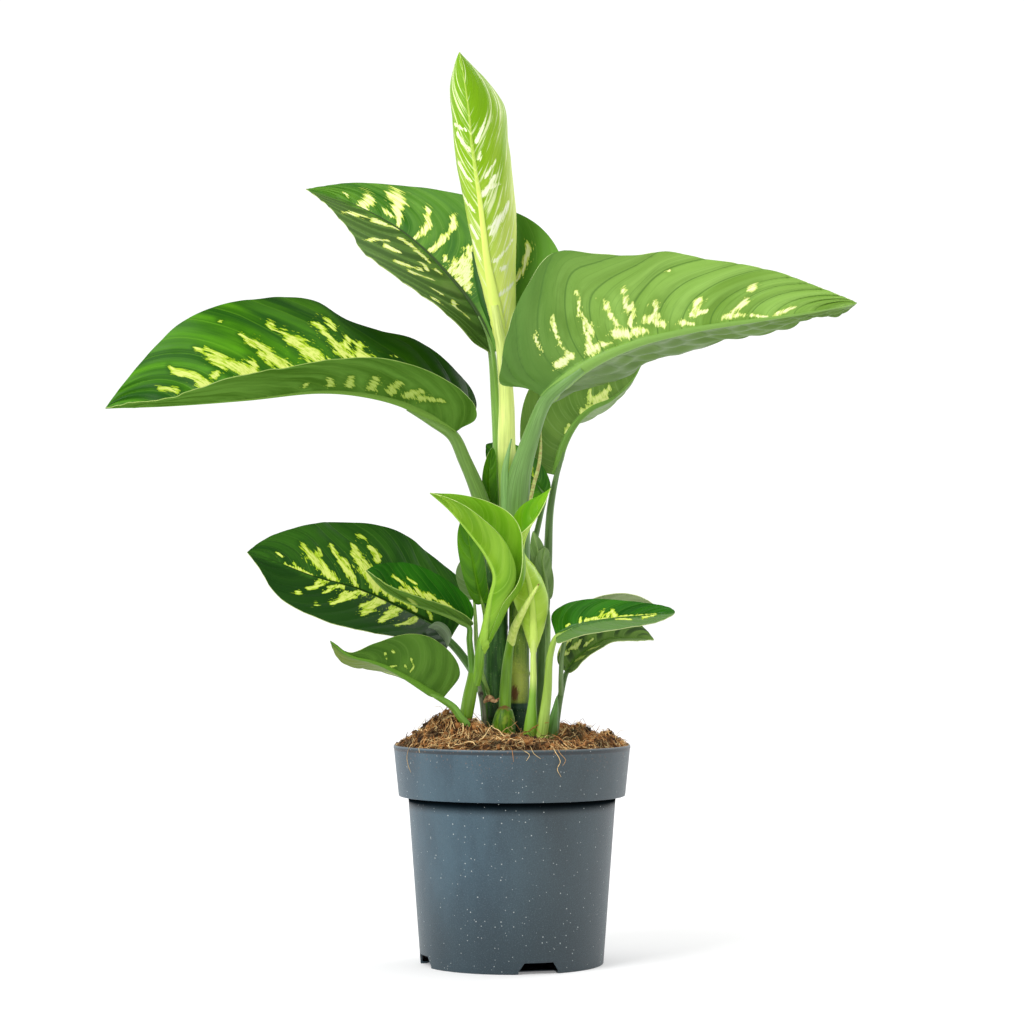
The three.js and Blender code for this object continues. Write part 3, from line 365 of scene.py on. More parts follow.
# How each leaf looks: the sets of colours of its upper side and underside, its stalk's colour, its relief
# between the veins as (bands, height), and other tones at the foot or tip, in centimetres along the blade.
# Blotches on each half run from the rib outwards along the veins. Each is its share and reach at both ends,
# in hundredths, and its width in tenths of a millimetre.
LOOKS = {
    "leaf_spear": {
        "slot": "young_leaf", "upper": "inner", "under": "spear", "stalk": (220, 238, 128),
        "quilt": (13, 0.25), "under_foot": ((234, 246, 128), 11.0),
        "under_tip": ((104, 156, 2), 11.5, 16.5), "gloss": 0.38, "streaks": (0.08, 0.9), "ridge": 0.36,
        "arch": (0.34, 1.1), "groove": 0.15, "shine": 0.08, "rib_fade": (9.0, 15.5), "rib_edge": 0.6,
        "rib_size": 0.6, "stalk_foot": ((134, 176, 62), 36.0), "left_spread": 1.3, "right_spread": 1.5,
        "right": [(72, 32, 66, 5, 11), (62, 36, 56, 11, 11), (51, 41, 46, 13, 9), (41, 29, 37, 16, 9),
                  (69, 20, 67, 8, 9), (75, 41, 73, 11, 4), (36, 34, 30, 17, 9)],
        "left": [(69, 8, 76, 28, 11), (63, 8, 65, 13, 11), (51, 5, 56, 30, 15), (53, 13, 53, 40, 11),
                 (38, 13, 46, 51, 19), (40, 13, 43, 29, 17), (29, 16, 34, 60, 11), (26, 27, 26, 38, 15),
                 (18, 17, 20, 63, 13), (57, 16, 61, 37, 9)],
    },
    "leaf_upper_left": {
        "upper": "fresh", "stalk": (116, 162, 60), "quilt": (15, 0.9), "left_quilt": (12, 1.9),
        "arch": (0.2, 2.3), "shine": 0.08, "left_tone_and_shade": (92, 122, 58), "left_fold_shade": ((36, 62, 18), 0.5),
        "left_spread": 2.1, "right_spread": 1.5, "rib_edge": 0.3, "upper_foot": ((98, 150, 44), 5.0),
        "right": [(83, 49, 83, 43, 9), (73, 59, 80, 0, 19), (78, 0, 76, 7, 11), (65, 76, 61, 73, 15),
                  (62, 75, 64, 46, 30), (64, 46, 63, 13, 26), (69, 29, 66, 24, 13), (53, 66, 53, 51, 13),
                  (53, 53, 52, 40, 17), (52, 42, 55, 4, 19), (45, 69, 44, 55, 13), (44, 59, 45, 34, 15),
                  (45, 36, 47, 7, 19), (41, 15, 40, 10, 13), (36, 39, 34, 29, 21), (34, 33, 36, 6, 28),
                  (35, 12, 31, 14, 41), (34, 25, 26, 5, 34), (31, 5, 25, 6, 22), (23, 79, 21, 68, 14),
                  (21, 68, 19, 56, 14), (19, 56, 18, 50, 11)],
        "left": [(74, 70, 71, 41, 7), (69, 30, 62, 3, 13), (53, 79, 54, 50, 15), (49, 61, 46, 49, 9),
                 (55, 24, 50, 13, 11), (48, 18, 42, 13, 9), (39, 67, 36, 39, 9), (41, 28, 36, 31, 11),
                 (33, 62, 31, 37, 13), (37, 15, 35, 12, 11), (24, 56, 22, 51, 9), (18, 81, 16, 80, 11),
                 (19, 39, 15, 49, 11), (15, 41, 12, 37, 9)],
    },
    "leaf_right": {
        "upper": "dark", "under": "underside", "stalk": (100, 142, 64), "quilt": (14, -2.0),
        "scallop": 0.018, "left_folds": (3, 0.9), "gloss": 0.45, "arch": (0.16, 2.3), "groove": 0.7,
        # Painted shade: the underside darker at its foot and over its left half.
        "lines": 0.4, "under_foot": ((80, 122, 46), 7.0), "left_tone_and_shade": (84, 112, 50), "rib_size": 0.72,
        "right": [(25, 60, 23, 44, 13), (23, 44, 23, 29, 13), (23, 29, 21, 17, 32), (20, 12, 23, 10, 43),
                  (23, 10, 26, 8, 16), (19, 65, 16, 42, 11), (16, 42, 15, 24, 13), (16, 72, 13, 55, 8),
                  (12, 26, 15, 21, 32), (29, 51, 29, 35, 16), (29, 35, 30, 23, 19), (33, 62, 33, 39, 16),
                  (34, 42, 33, 20, 24), (29, 15, 36, 11, 40), (40, 40, 40, 27, 24), (38, 24, 42, 14, 32),
                  (40, 29, 41, 13, 22), (51, 41, 51, 22, 27), (47, 13, 51, 8, 19), (50, 23, 54, 26, 19),
                  (64, 40, 62, 24, 27), (60, 14, 65, 15, 24), (75, 8, 80, 29, 19), (68, 13, 73, 4, 11),
                  (64, 68, 63, 65, 22), (42, 78, 42, 80, 13)],
    },
    "leaf_left": {
        "upper": "dark", "under": "folded", "stalk": (96, 136, 44), "quilt": (13, 0.9), "left_pucker": 0.6,
        # Painted shade: the upper side's near-black foot, in the fold.
        "gloss": 0.36, "arch": (0.22, 1.7), "ridge": 0.45, "upper_foot": ((10, 42, 0), 10.5), "shine": 0.12,
        "under_shine": 0.0, "shade": 0.6, "right_spread": 1.1, "lines": 0.2,
        "right": [(71, 25, 73, 41, 38), (73, 41, 77, 58, 27), (76, 46, 77, 67, 16), (79, 26, 83, 41, 22),
                  (58, 28, 63, 44, 49), (62, 38, 66, 53, 43), (65, 50, 68, 68, 24), (62, 48, 66, 66, 13),
                  (68, 31, 66, 35, 22), (48, 29, 52, 44, 49), (50, 43, 52, 58, 43), (53, 55, 55, 67, 24),
                  (56, 38, 56, 29, 32), (46, 76, 46, 69, 22), (39, 31, 41, 43, 54), (41, 42, 42, 56, 49),
                  (43, 54, 44, 66, 32), (28, 55, 34, 44, 43), (33, 45, 35, 60, 43), (35, 57, 37, 75, 24),
                  (34, 82, 34, 73, 24), (32, 58, 31, 75, 19), (29, 55, 29, 74, 27), (23, 66, 22, 65, 8),
                  (58, 86, 57, 87, 11)],
        "left": [(44, 16, 42, 30, 20), (37, 16, 36, 40, 26), (32, 16, 31, 44, 28), (26, 18, 25, 50, 32),
                 (21, 20, 20, 50, 32), (17, 22, 15, 50, 30), (14, 30, 11, 55, 26)],
    },
    "leaf_back_right": {
        "upper": "dark", "stalk": (88, 122, 60), "quilt": (9, -0.8), "gloss": 0.45,
        "right": [(51, 10, 52, 31, 20), (55, 10, 67, 24, 30), (44, 3, 62, 5, 30), (26, 0, 32, 8, 25)],
        "left": [(30, 5, 30, 40, 30), (50, 5, 50, 40, 30)],
    },
    "leaf_back_dark": {
        "upper": "dark", "stalk": (84, 120, 56), "quilt": (7, 0.4), "gloss": 0.42,
        "right": [(30, 0, 40, 50, 30)],
        "left": [(30, 0, 40, 50, 30), (60, 0, 60, 50, 30)],
    },
    "leaf_bud_left": {
        "slot": "young_leaf", "upper": "leafy", "under": "leafy", "stalk": (120, 176, 50),
        "quilt": (5, 0.15), "gloss": 0.38,
    },
    "leaf_low_left": {
        # Painted shade: the left half near-black.
        "upper": "shade", "stalk": (84, 130, 52), "quilt": (12, 0.8), "left_tone_and_shade": (22, 58, 12),
        "arch": (0.18, 1.8), "shine": 0.08, "shade": 0.5, "right_spread": 1.5, "left_spread": 1.6,
        "right": [(85, 38, 84, 31, 7), (78, 17, 77, 9, 9), (82, 0, 77, 0, 9), (77, 6, 69, 0, 10),
                  (73, 64, 69, 38, 14), (69, 42, 65, 19, 29), (65, 23, 59, 4, 29), (65, 55, 64, 44, 7),
                  (58, 63, 57, 50, 9), (57, 51, 55, 34, 14), (55, 37, 50, 6, 26), (48, 66, 48, 50, 16),
                  (48, 52, 46, 32, 22), (46, 37, 40, 9, 38), (42, 66, 39, 57, 10), (40, 55, 40, 49, 17),
                  (45, 82, 43, 76, 10), (41, 18, 32, 6, 28), (32, 13, 20, 6, 21), (15, 18, 12, 6, 12)],
        "left": [(63, 2, 67, 42, 16), (66, 3, 66, 24, 10), (56, 6, 61, 19, 14), (59, 15, 61, 39, 9),
                 (45, 3, 54, 27, 24), (50, 23, 55, 55, 21), (37, 6, 43, 39, 24), (39, 24, 41, 56, 24),
                 (29, 9, 32, 34, 24), (30, 29, 33, 61, 21), (20, 17, 23, 45, 17), (24, 46, 27, 66, 12),
                 (68, 65, 68, 65, 5), (59, 74, 59, 74, 5)],
    },
    "leaf_low_left_small": {
        "upper": "vivid", "under": "folded", "stalk": (94, 146, 40), "quilt": (9, 0.4), "gloss": 0.36,
        "arch": (0.3, 1.2), "shine": 0.1,
        "right": [(74, 56, 63, 45, 14), (63, 45, 52, 26, 17), (87, 14, 72, 18, 12), (58, 61, 49, 50, 7),
                  (49, 34, 37, 22, 21), (65, 27, 49, 25, 12), (39, 33, 27, 26, 16), (27, 29, 14, 18, 17)],
        "left": [(50, 0, 55, 40, 25)],
    },
    "leaf_low_turned": {
        "upper": "shade", "under": "olive", "stalk": (96, 146, 36), "quilt": (9, -0.5), "gloss": 0.44,
        "right_tone": (116, 134, 60), "groove": 0.15, "shine": 0.1, "rough": 5.0, "left_spread": 0.62,
        "right": [(41, 75, 35, 57, 7)],
        "left": [(55, 50, 52, 13, 7), (51, 56, 49, 49, 5), (50, 3, 44, 16, 7), (40, 23, 37, 16, 7),
                 (38, 42, 35, 34, 10), (34, 30, 34, 13, 7)],
    },
    "leaf_young_left": {
        "slot": "young_leaf", "upper": "inner_pale", "under": "lime", "stalk": (110, 160, 30),
        "quilt": (11, 0.3), "gloss": 0.36, "under_foot": ((110, 160, 36), 4.0),
    },
    "leaf_young_right": {
        "slot": "young_leaf", "upper": "inner", "under": "young", "stalk": (200, 226, 110),
        "stalk_foot": ((116, 170, 40), 19.6), "quilt": (11, 0.3), "gloss": 0.36,
        "under_foot": ((190, 218, 96), 3.0),
    },
    "leaf_low_right": {
        "upper": "vivid", "under": "grey", "stalk": (142, 176, 62), "quilt": (8, 0.6), "gloss": 0.3,
        "right_tone": (104, 138, 76),
        "right": [(52, 10, 63, 29, 15), (72, 30, 84, 14, 16)],
        "left": [(12, 16, 14, 16, 7), (22, 7, 24, 31, 9), (27, 12, 35, 16, 15), (39, 19, 39, 45, 19),
                 (45, 16, 45, 35, 15), (52, 2, 46, 49, 19), (54, 8, 65, 9, 11), (67, 0, 84, 3, 7),
                 (35, 9, 53, 0, 11)],
    },
    "leaf_low_right_back": {
        "upper": "dull", "stalk": (74, 108, 44), "quilt": (7, 0.8), "gloss": 0.42, "shade": 0.9,
        "left_fold_shade": ((38, 60, 30), 0.8), "right_tone": (104, 132, 72),
        "right": [(15, 10, 20, 60, 25), (30, 10, 34, 60, 25)],
        "left": [(12, 100, 16, 92, 15), (17, 90, 21, 79, 15), (21, 40, 28, 46, 15), (29, 21, 39, 24, 11),
                 (17, 55, 23, 41, 11), (11, 78, 15, 47, 9)],
    },
    "leaf_low_right_far": {
        "upper": "pale", "under": "pale", "stalk": (110, 140, 80), "quilt": (6, 0.3), "gloss": 0.45,
    },
    "leaf_small_left": {
        "slot": "young_leaf", "upper": "leafy", "under": "leafy", "stalk": (120, 160, 50),
        "quilt": (6, 0.3), "gloss": 0.38,
    },
    "leaf_small_left_grey": {
        "upper": "grey", "under": "grey", "stalk": (146, 184, 90), "quilt": (4, 0.2),
    },
    "leaf_small_right": {
        "upper": "grey", "under": "grey", "stalk": (120, 156, 76), "quilt": (4, 0.2),
    },
    "leaf_small_right_front": {
        "upper": "grey", "under": "grey", "stalk": (120, 156, 76), "quilt": (4, 0.2),
    },
}


# Curves and stations, as in the solids' source


def smooth(stations, share):
    """Values at evenly spaced stations, joined by a smooth curve; a single number stays as it is."""
    values = np.asarray(stations, float)
    share = np.clip(np.asarray(share, float), 0, 1)
    if values.ndim == 0:
        return np.full(share.shape, float(values))
    last = len(values) - 1
    place = share * last
    index = np.minimum(place.astype(int), last - 1)
    w = place - index
    if values.ndim > 1:
        w = w[..., None]
    a = values[np.maximum(index - 1, 0)]
    b = values[index]
    c = values[index + 1]
    d = values[np.minimum(index + 2, last)]
    return b + 0.5 * w * (c - a + w * (2 * a - 5 * b + 4 * c - d + w * (3 * (b - c) + d - a)))


def unit(vectors):
    """Vectors of length one."""
    return vectors / np.maximum(np.linalg.norm(vectors, axis=-1, keepdims=True), 1e-9)


def ease(low, high, values):
    """0 below low, 1 above high, and smooth in between."""
    t = np.clip((values - low) / (high - low), 0, 1)
    return t * t * (3 - 2 * t)


def curve_points(points, count):
    """A centripetal curve through the points, as count + 1 places evenly spaced along it."""
    points = np.asarray(points, float)
    if len(points) == 2:
        share = np.linspace(0, 1, count + 1)[:, None]
        return points[0] * (1 - share) + points[1] * share
    padded = np.vstack([2 * points[0] - points[1], points, 2 * points[-1] - points[-2]])
    dense = []
    for index in range(len(points) - 1):
        p0, p1, p2, p3 = padded[index:index + 4]
        d0, d1, d2 = [max(np.sum((b - a) ** 2) ** 0.25, 1e-4) for a, b in ((p0, p1), (p1, p2), (p2, p3))]
        t1 = ((p1 - p0) / d0 - (p2 - p0) / (d0 + d1) + (p2 - p1) / d1) * d1
        t2 = ((p2 - p1) / d1 - (p3 - p1) / (d1 + d2) + (p3 - p2) / d2) * d1
        w = np.linspace(0, 1, 24, endpoint=index == len(points) - 2)[:, None]
        dense.append(p1 + t1 * w + (3 * (p2 - p1) - 2 * t1 - t2) * w**2 + (2 * (p1 - p2) + t1 + t2) * w**3)
    dense = np.concatenate(dense)
    run = np.concatenate([[0], np.cumsum(np.linalg.norm(np.diff(dense, axis=0), axis=1))])
    even = np.linspace(0, run[-1], count + 1)
    return np.stack([np.interp(even, run, dense[:, axis]) for axis in range(3)], 1)


def bumps(across, along, cells, seed):
    """Soft random hills between -1 and 1 over two coordinates, with about one hill a cell."""
    values = np.random.default_rng(seed).uniform(-1, 1, (HILLS, HILLS))
    x = across * cells[0] % (HILLS - 1)
    y = along * cells[1] % (HILLS - 1)
    i = x.astype(int)
    j = y.astype(int)
    u = ease(0, 1, x - i)
    v = ease(0, 1, y - j)
    low = values[i, j] * (1 - u) + values[i + 1, j] * u
    high = values[i, j + 1] * (1 - u) + values[i + 1, j + 1] * u
    return low * (1 - v) + high * v


# Meshes


def grid_faces(rows, columns, closed=False):
    """Four-sided faces between neighbouring rows of a grid."""
    index = np.arange(rows * columns).reshape(rows, columns)
    if closed:
        index = np.hstack([index, index[:, :1]])
    corners = [index[:-1, :-1], index[:-1, 1:], index[1:, 1:], index[1:, :-1]]
    return np.stack([corner.ravel() for corner in corners], 1)


def rim_faces(rows, columns):
    """Four-sided faces from the edge of a grid to the edge of a second grid, which follows the first."""
    count = rows * columns
    index = np.arange(count).reshape(rows, columns)
    edge = np.concatenate([index[:, 0], index[-1, 1:-1], index[::-1, -1], index[0, -2:0:-1]])
    nxt = np.roll(edge, -1)
    return np.stack([edge, nxt, nxt + count, edge + count], 1)


def add_mesh(name, points, faces, materials, choice=None, values=None, flat=None):
    """A smooth mesh object from points in millimetres, with its materials and its values for the shader."""
    mesh = bpy.data.meshes.new(name)
    mesh.from_pydata((np.asarray(points) * MM).tolist(), [], [list(map(int, face)) for face in faces])
    for material in materials:
        mesh.materials.append(material)
    if choice is not None:
        mesh.polygons.foreach_set("material_index", np.asarray(choice, np.int32))
    mesh.polygons.foreach_set("use_smooth", np.ones(len(mesh.polygons), bool))
    for key, numbers in (values or {}).items():
        mesh.attributes.new(key, "FLOAT", "POINT").data.foreach_set("value", np.asarray(numbers, np.float32))
    if flat is not None:
        corners = np.empty(len(mesh.loops), np.int32)
        mesh.loops.foreach_get("vertex_index", corners)
        layer = mesh.uv_layers.new(name="Blade")
        layer.data.foreach_set("uv", np.asarray(flat, np.float32)[corners].ravel())
    mesh.set_sharp_from_angle(angle=math.radians(SHARP_ANGLE))
    piece = bpy.data.objects.new(name, mesh)
    bpy.context.scene.collection.objects.link(piece)
    return piece


def dress(piece, node=None):
    """The piece rides on the body, and may stand for a node."""
    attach(piece, "root")
    if node is not None:
        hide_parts(node)


def joined(parts):
    """Points, faces, face choices, values and flat places of several parts, as one of each."""
    offset = 0
    faces = []
    for part in parts:
        faces += [tuple(int(corner) + offset for corner in face) for face in part["faces"]]
        offset += len(part["points"])
    keys = parts[0]["values"].keys()
    return {
        "points": np.concatenate([part["points"] for part in parts]),
        "faces": faces,
        "choice": np.concatenate([np.broadcast_to(part["choice"], len(part["faces"])) for part in parts]),
        "values": {key: np.concatenate([part["values"][key] for part in parts]) for key in keys},
        "flat": np.concatenate([part["flat"] for part in parts]),
    }


def add_parts(name, parts, materials, node=None):
    """One piece made of several parts."""
    whole = joined(parts)
    piece = add_mesh(name, whole["points"], whole["faces"], materials, whole["choice"], whole["values"],
                     whole["flat"])
    dress(piece, node)


def add_in_place(node, parts, materials):
    """One piece made of several parts, in place of a node's solid."""
    add_parts(node + "_visual", parts, materials, node)


def path_length(places):
    """How long a line through the places is."""
    return np.linalg.norm(np.diff(places, axis=0), axis=1).sum()


def blank_values(count):
    """The shader's values where there is no blade."""
    return {key: np.zeros(count) for key in ("cut", "band", "ridge")}


def tube_part(points, radii, choice=0, sides=28, rings=60, swell=None, round_end=False):
    """A tapered tube through the points; swell adds to its radius by height."""
    places = curve_points(points, rings)
    along = unit(np.gradient(places, axis=0))
    back = unit(np.array([0, 1, 0]) - along * along[:, 1:2])
    beside = np.cross(along, back)
    share = np.linspace(0, 1, rings + 1)
    radius = smooth(radii, share)
    if swell is not None:
        radius = radius + swell(places[:, 2])
    if round_end:
        radius = radius * np.sqrt(np.clip(1 - ease(0.9, 1, share) ** 2, 0.004, 1))
    turn = 2 * np.pi * np.arange(sides) / sides
    out = np.cos(turn)[None, :, None] * back[:, None] + np.sin(turn)[None, :, None] * beside[:, None]
    rows = places[:, None] + out * radius[:, None, None]
    faces = grid_faces(rings + 1, sides, closed=True).tolist()
    last = rings * sides
    faces.append(tuple(range(sides - 1, -1, -1)))
    faces.append(tuple(range(last, last + sides)))
    runs = share[:, None] * path_length(places)
    flat = np.stack(np.broadcast_arrays(turn[None, :] * radius.max(), runs), -1) / 10
    return {"points": rows.reshape(-1, 3), "faces": faces, "choice": choice,
            "values": blank_values((rings + 1) * sides), "flat": flat.reshape(-1, 2)}


# Blades


def rib_line(leaf):
    """The midrib's places, directions, upper sides and right hands."""
    places = curve_points(leaf["rib"], RIB_STEPS)
    along = unit(np.gradient(places, axis=0))
    face = unit(smooth(leaf["face"], np.linspace(0, 1, RIB_STEPS + 1)))
    up = unit(face - (face * along).sum(1, keepdims=True) * along)
    return {"length": path_length(places), "place": places, "along": along, "up": up,
            "right": np.cross(along, up)}


def on_rib(line, share):
    """Place, direction, upper side and right hand at shares of the rib, straight on past its ends."""
    inside = np.clip(share, 0, 1)
    stations = np.linspace(0, 1, len(line["place"]))

    def read(key):
        return np.stack([np.interp(inside, stations, line[key][:, axis]) for axis in range(3)], -1)

    along = read("along")
    place = read("place") + along * ((share - inside) * line["length"])[..., None]
    return place, along, read("up"), read("right")


def half_shape(leaf, side):
    """The outline settings of one half, with the shared ones behind them."""
    shape = {"peak": 0.42, "round": 0.62, "point": 1.05, "lobe": 0.05, "sweep": 0.16, "curl": 0}
    shape.update(leaf.get("outline", {}))
    shape.update(leaf["right"] if side > 0 else leaf["left"])
    return shape


def half_width(shape, share):
    """How wide a half is at a share of its length, and how full its outline is there."""
    bulge = np.sin(np.pi * share ** (math.log(0.5) / math.log(shape["peak"])))
    power = shape["round"] + (shape["point"] - shape["round"]) * share * share * (3 - 2 * share)
    full = np.maximum(bulge, 0) ** power
    return full * smooth(shape["width"], share), full


def blade_points(leaf, line, share, reach, side):
    """Points of one half of the blade's middle surface."""
    shape = half_shape(leaf, side)
    wide, full = half_width(shape, share)
    ahead = shape["sweep"] * 4 * share * (1 - share) * (0.35 + 0.65 * share)
    behind = shape["lobe"] * (share / 0.1) * np.exp(1 - share / 0.1)
    place = share + (ahead - behind) * reach**1.6
    centre, _, up, right = on_rib(line, place)
    lift = np.radians(smooth(shape["lift"], place))
    curl = np.radians(np.maximum(smooth(shape["curl"], place), 0.1))
    end = lift + curl * reach
    wave = leaf.get("wave", {"height": 0, "count": 3, "phase": 0})
    turn = 2 * np.pi * (wave["count"] * share + wave["phase"]) + (0 if side > 0 else 1.3)
    ripple = wave["height"] * np.sin(turn) * reach**2.5 * np.minimum(1, full * 1.4)
    across = wide / curl * (np.sin(end) - np.sin(lift)) - np.sin(end) * ripple
    above = wide / curl * (np.cos(lift) - np.cos(end)) + np.cos(end) * ripple
    return centre + right * (side * across)[..., None] + up * above[..., None]


def vein_root(look, share, reach):
    """Where on the rib the vein through a point starts: veins bend towards the tip on their way out."""
    amount, power = look.get("arch", VEIN_ARCH)
    return share - amount * reach**power


def blotch_field(blotches, share, reach, length, width, spread):
    """1 inside each blotch, about 0.3 at its edge and down to -2 beyond."""
    field = np.full(share.shape, -2.0)
    for *ends, size in blotches:
        from_share, from_reach, to_share, to_reach = [number / 100 for number in ends]
        x = (share - from_share) * length
        y = (reach - from_reach) * width
        run_x = (to_share - from_share) * length
        run_y = (to_reach - from_reach) * width
        t = np.clip((x * run_x + y * run_y) / (run_x**2 + run_y**2 + 1e-6), 0, 1)
        away = np.hypot(x - t * run_x, y - t * run_y)
        half = spread * max(size / 10, SLIMMEST_BLOTCH) * (1 - 0.35 * t)
        field = np.maximum(field, 1.35 - away / half)
    return np.minimum(field, 1)


def relief(look, side, share, reach, band, length, width):
    """How far the blade swells between its veins, in folds, in puckers and at random."""
    half = "right" if side > 0 else "left"
    height = look.get(half + "_quilt", look["quilt"])[1]
    swell = np.abs(np.sin(np.pi * band)) ** 0.7 - 0.6
    if height < 0:
        grown = ease(0.03, 0.5, reach)
    else:
        grown = ease(0.02, 0.25, reach) * (1 - 0.5 * ease(0.8, 1, reach))
    rise = height * swell * grown
    if half + "_folds" in look:
        count, fold = look[half + "_folds"]
        rise = rise + fold * np.sin(2 * np.pi * count * reach + 5 * share) * ease(0.05, 0.4, reach)
    if half + "_pucker" in look:
        seed = SEED + (11 if side > 0 else 12)
        puckers = bumps(share, reach * width / length, (length / 7,) * 2, seed)
        rise = rise + look[half + "_pucker"] * puckers * ease(0.05, 0.3, reach)
    uneven = bumps(share, reach * width / length, (length / 16,) * 2, SEED + 3)
    ends = ease(0, 0.08, share) * (1 - ease(0.9, 1, share))
    return (rise + 0.35 * uneven * ease(0, 0.3, reach)) * ends


def sheet_normals(points):
    """The way each point of a sheet faces."""
    return unit(np.cross(np.gradient(points, axis=1), np.gradient(points, axis=0)))


def blade_grid(leaf, look, line, rows, columns):
    """The middle surface of a blade with its relief, and the values that its shader reads."""
    even = np.linspace(0.0004, 0.9996, rows + 1)
    share_line = 0.45 * even + 0.55 * (1 - np.cos(np.pi * even)) / 2
    step = np.linspace(-1, 1, 2 * columns + 1)
    share, across = np.meshgrid(share_line, step, indexing="ij")
    reach = np.abs(across) ** 1.6
    side = np.where(across < 0, -1, 1)
    points = np.zeros(share.shape + (3,))
    width, band, cut, rise, start = np.zeros((5,) + share.shape)
    for hand, name in ((-1, "left"), (1, "right")):
        mine = side == hand
        u = share[mine]
        q = reach[mine]
        w = half_width(half_shape(leaf, hand), u)[0]
        count = look.get(name + "_quilt", look["quilt"])[0]
        shift = 0.5 if hand > 0 else 0.2
        root = vein_root(look, u, q)
        b = count * root + shift + 0.22 * np.sin(9 * root) + 0.1 * np.sin(31 * root)
        pulled = q * (1 - look.get("scallop", 0) * (1 - np.abs(np.sin(np.pi * b)) ** 0.5) * q**6)
        points[mine] = blade_points(leaf, line, u, pulled, hand)
        width[mine] = w
        band[mine] = b
        cut[mine] = blotch_field(look[name], u, q, line["length"], w, look.get(name + "_spread", 1))
        start[mine] = root
        rise[mine] = relief(look, hand, u, q, b, line["length"], w)
    return {
        "share": share,
        "reach": reach,
        "points": points + sheet_normals(points) * rise[..., None],
        "values": {"cut": cut, "band": band},
        "away": reach * width,
        "flat": np.stack([start * line["length"], side * reach * width], -1) / 10,
    }


def blade_part(leaf, look, line, rows, columns):
    """Upper sheet, underside with its midrib, and the margin between them."""
    grid = blade_grid(leaf, look, line, rows, columns)
    points = grid["points"]
    normal = sheet_normals(points)
    thick = BLADE_AT_MARGIN + (BLADE_AT_RIB - BLADE_AT_MARGIN) * (1 - ease(0, 0.5, grid["reach"]))
    slim = 1 - (1 - look.get("rib_size", 1)) * ease(0, 0.35, grid["share"])
    radius = slim * leaf["radii"][-1] * np.clip(1 - grid["share"] / RIB_REACH, 0, 1) ** 1.1 + 0.2
    grown = look.get("ridge", RIDGE) * (0.15 + 0.85 * ease(0, 0.12, grid["share"]))
    near = np.clip(grid["away"] / radius, 0, 2)
    ridge = 0.7 * (1 - ease(0.85, 1.15, near)) + np.sqrt(np.clip(1 - near**2, 0, 1))
    channel = 0.35 * (1 - ease(0, 1, near / 0.9))
    upper = points + normal * (thick / 2 - np.minimum(channel * radius, 1.2))[..., None]
    lower = points - normal * (thick / 2 + grown * ridge * radius)[..., None]
    wide = 2 * columns + 1
    count = points.shape[0] * wide
    faces = grid_faces(rows + 1, wide)
    under = faces[:, ::-1] + count
    rim = rim_faces(rows + 1, wide)
    both = {key: np.concatenate([value.ravel()] * 2) for key, value in grid["values"].items()}
    both["ridge"] = np.concatenate([1 - ease(0, 1.1, near).ravel(), np.clip(ridge / 1.7, 0, 1).ravel()])
    return {
        "points": np.concatenate([upper.reshape(-1, 3), lower.reshape(-1, 3)]),
        "faces": np.concatenate([faces, under, rim]).tolist(),
        "choice": np.repeat([0, 1, 2], [len(faces), len(under), len(rim)]),
        "values": both,
        "flat": np.concatenate([grid["flat"].reshape(-1, 2)] * 2),
    }


def stalk_part(leaf, look, line):
    """The leaf's stalk, which runs into the midrib under the blade's base."""
    base = leaf["radii"][-1]
    shares = np.array([0, 0.07, 0.15])
    place, _, up, _ = on_rib(line, shares)
    under = place - up * (base * look.get("ridge", RIDGE) * np.array([0.4, 0.9, 0.95]))[:, None]
    points = leaf["stalk"][:-1] + under.tolist()
    radii = leaf["radii"][:-1] + [base, 0.82 * base, 0.5 * base]
    return tube_part(points, radii, choice=3, sides=30, rings=70)


def add_leaf(name):
    """One leaf with its stalk, in place of its solid."""
    leaf = LEAVES[name]
    look = {**COMMON_LOOK, **LOOKS[name]}
    line = rib_line(leaf)
    rows, columns = BIG_LEAF_GRID if line["length"] > BIG_LEAF else SMALL_LEAF_GRID
    parts = [blade_part(leaf, look, line, rows, columns), stalk_part(leaf, look, line)]
    materials = [
        blade_material(name + "_upper", look, "upper"),
        blade_material(name + "_under", look, "under"),
        margin_material(name + "_margin", look),
        stalk_material(name + "_stalk", look["stalk"], look.get("stalk_foot")),
    ]
    add_in_place(name, parts, materials)


# Shader nodes


def linear(colour):
    """A colour of 0 to 255 as seen on a screen, as the shader's own numbers."""
    shares = [channel / 255 for channel in colour]
    return [s / 12.92 if s <= 0.04045 else ((s + 0.055) / 1.055) ** 2.4 for s in shares] + [1.0]


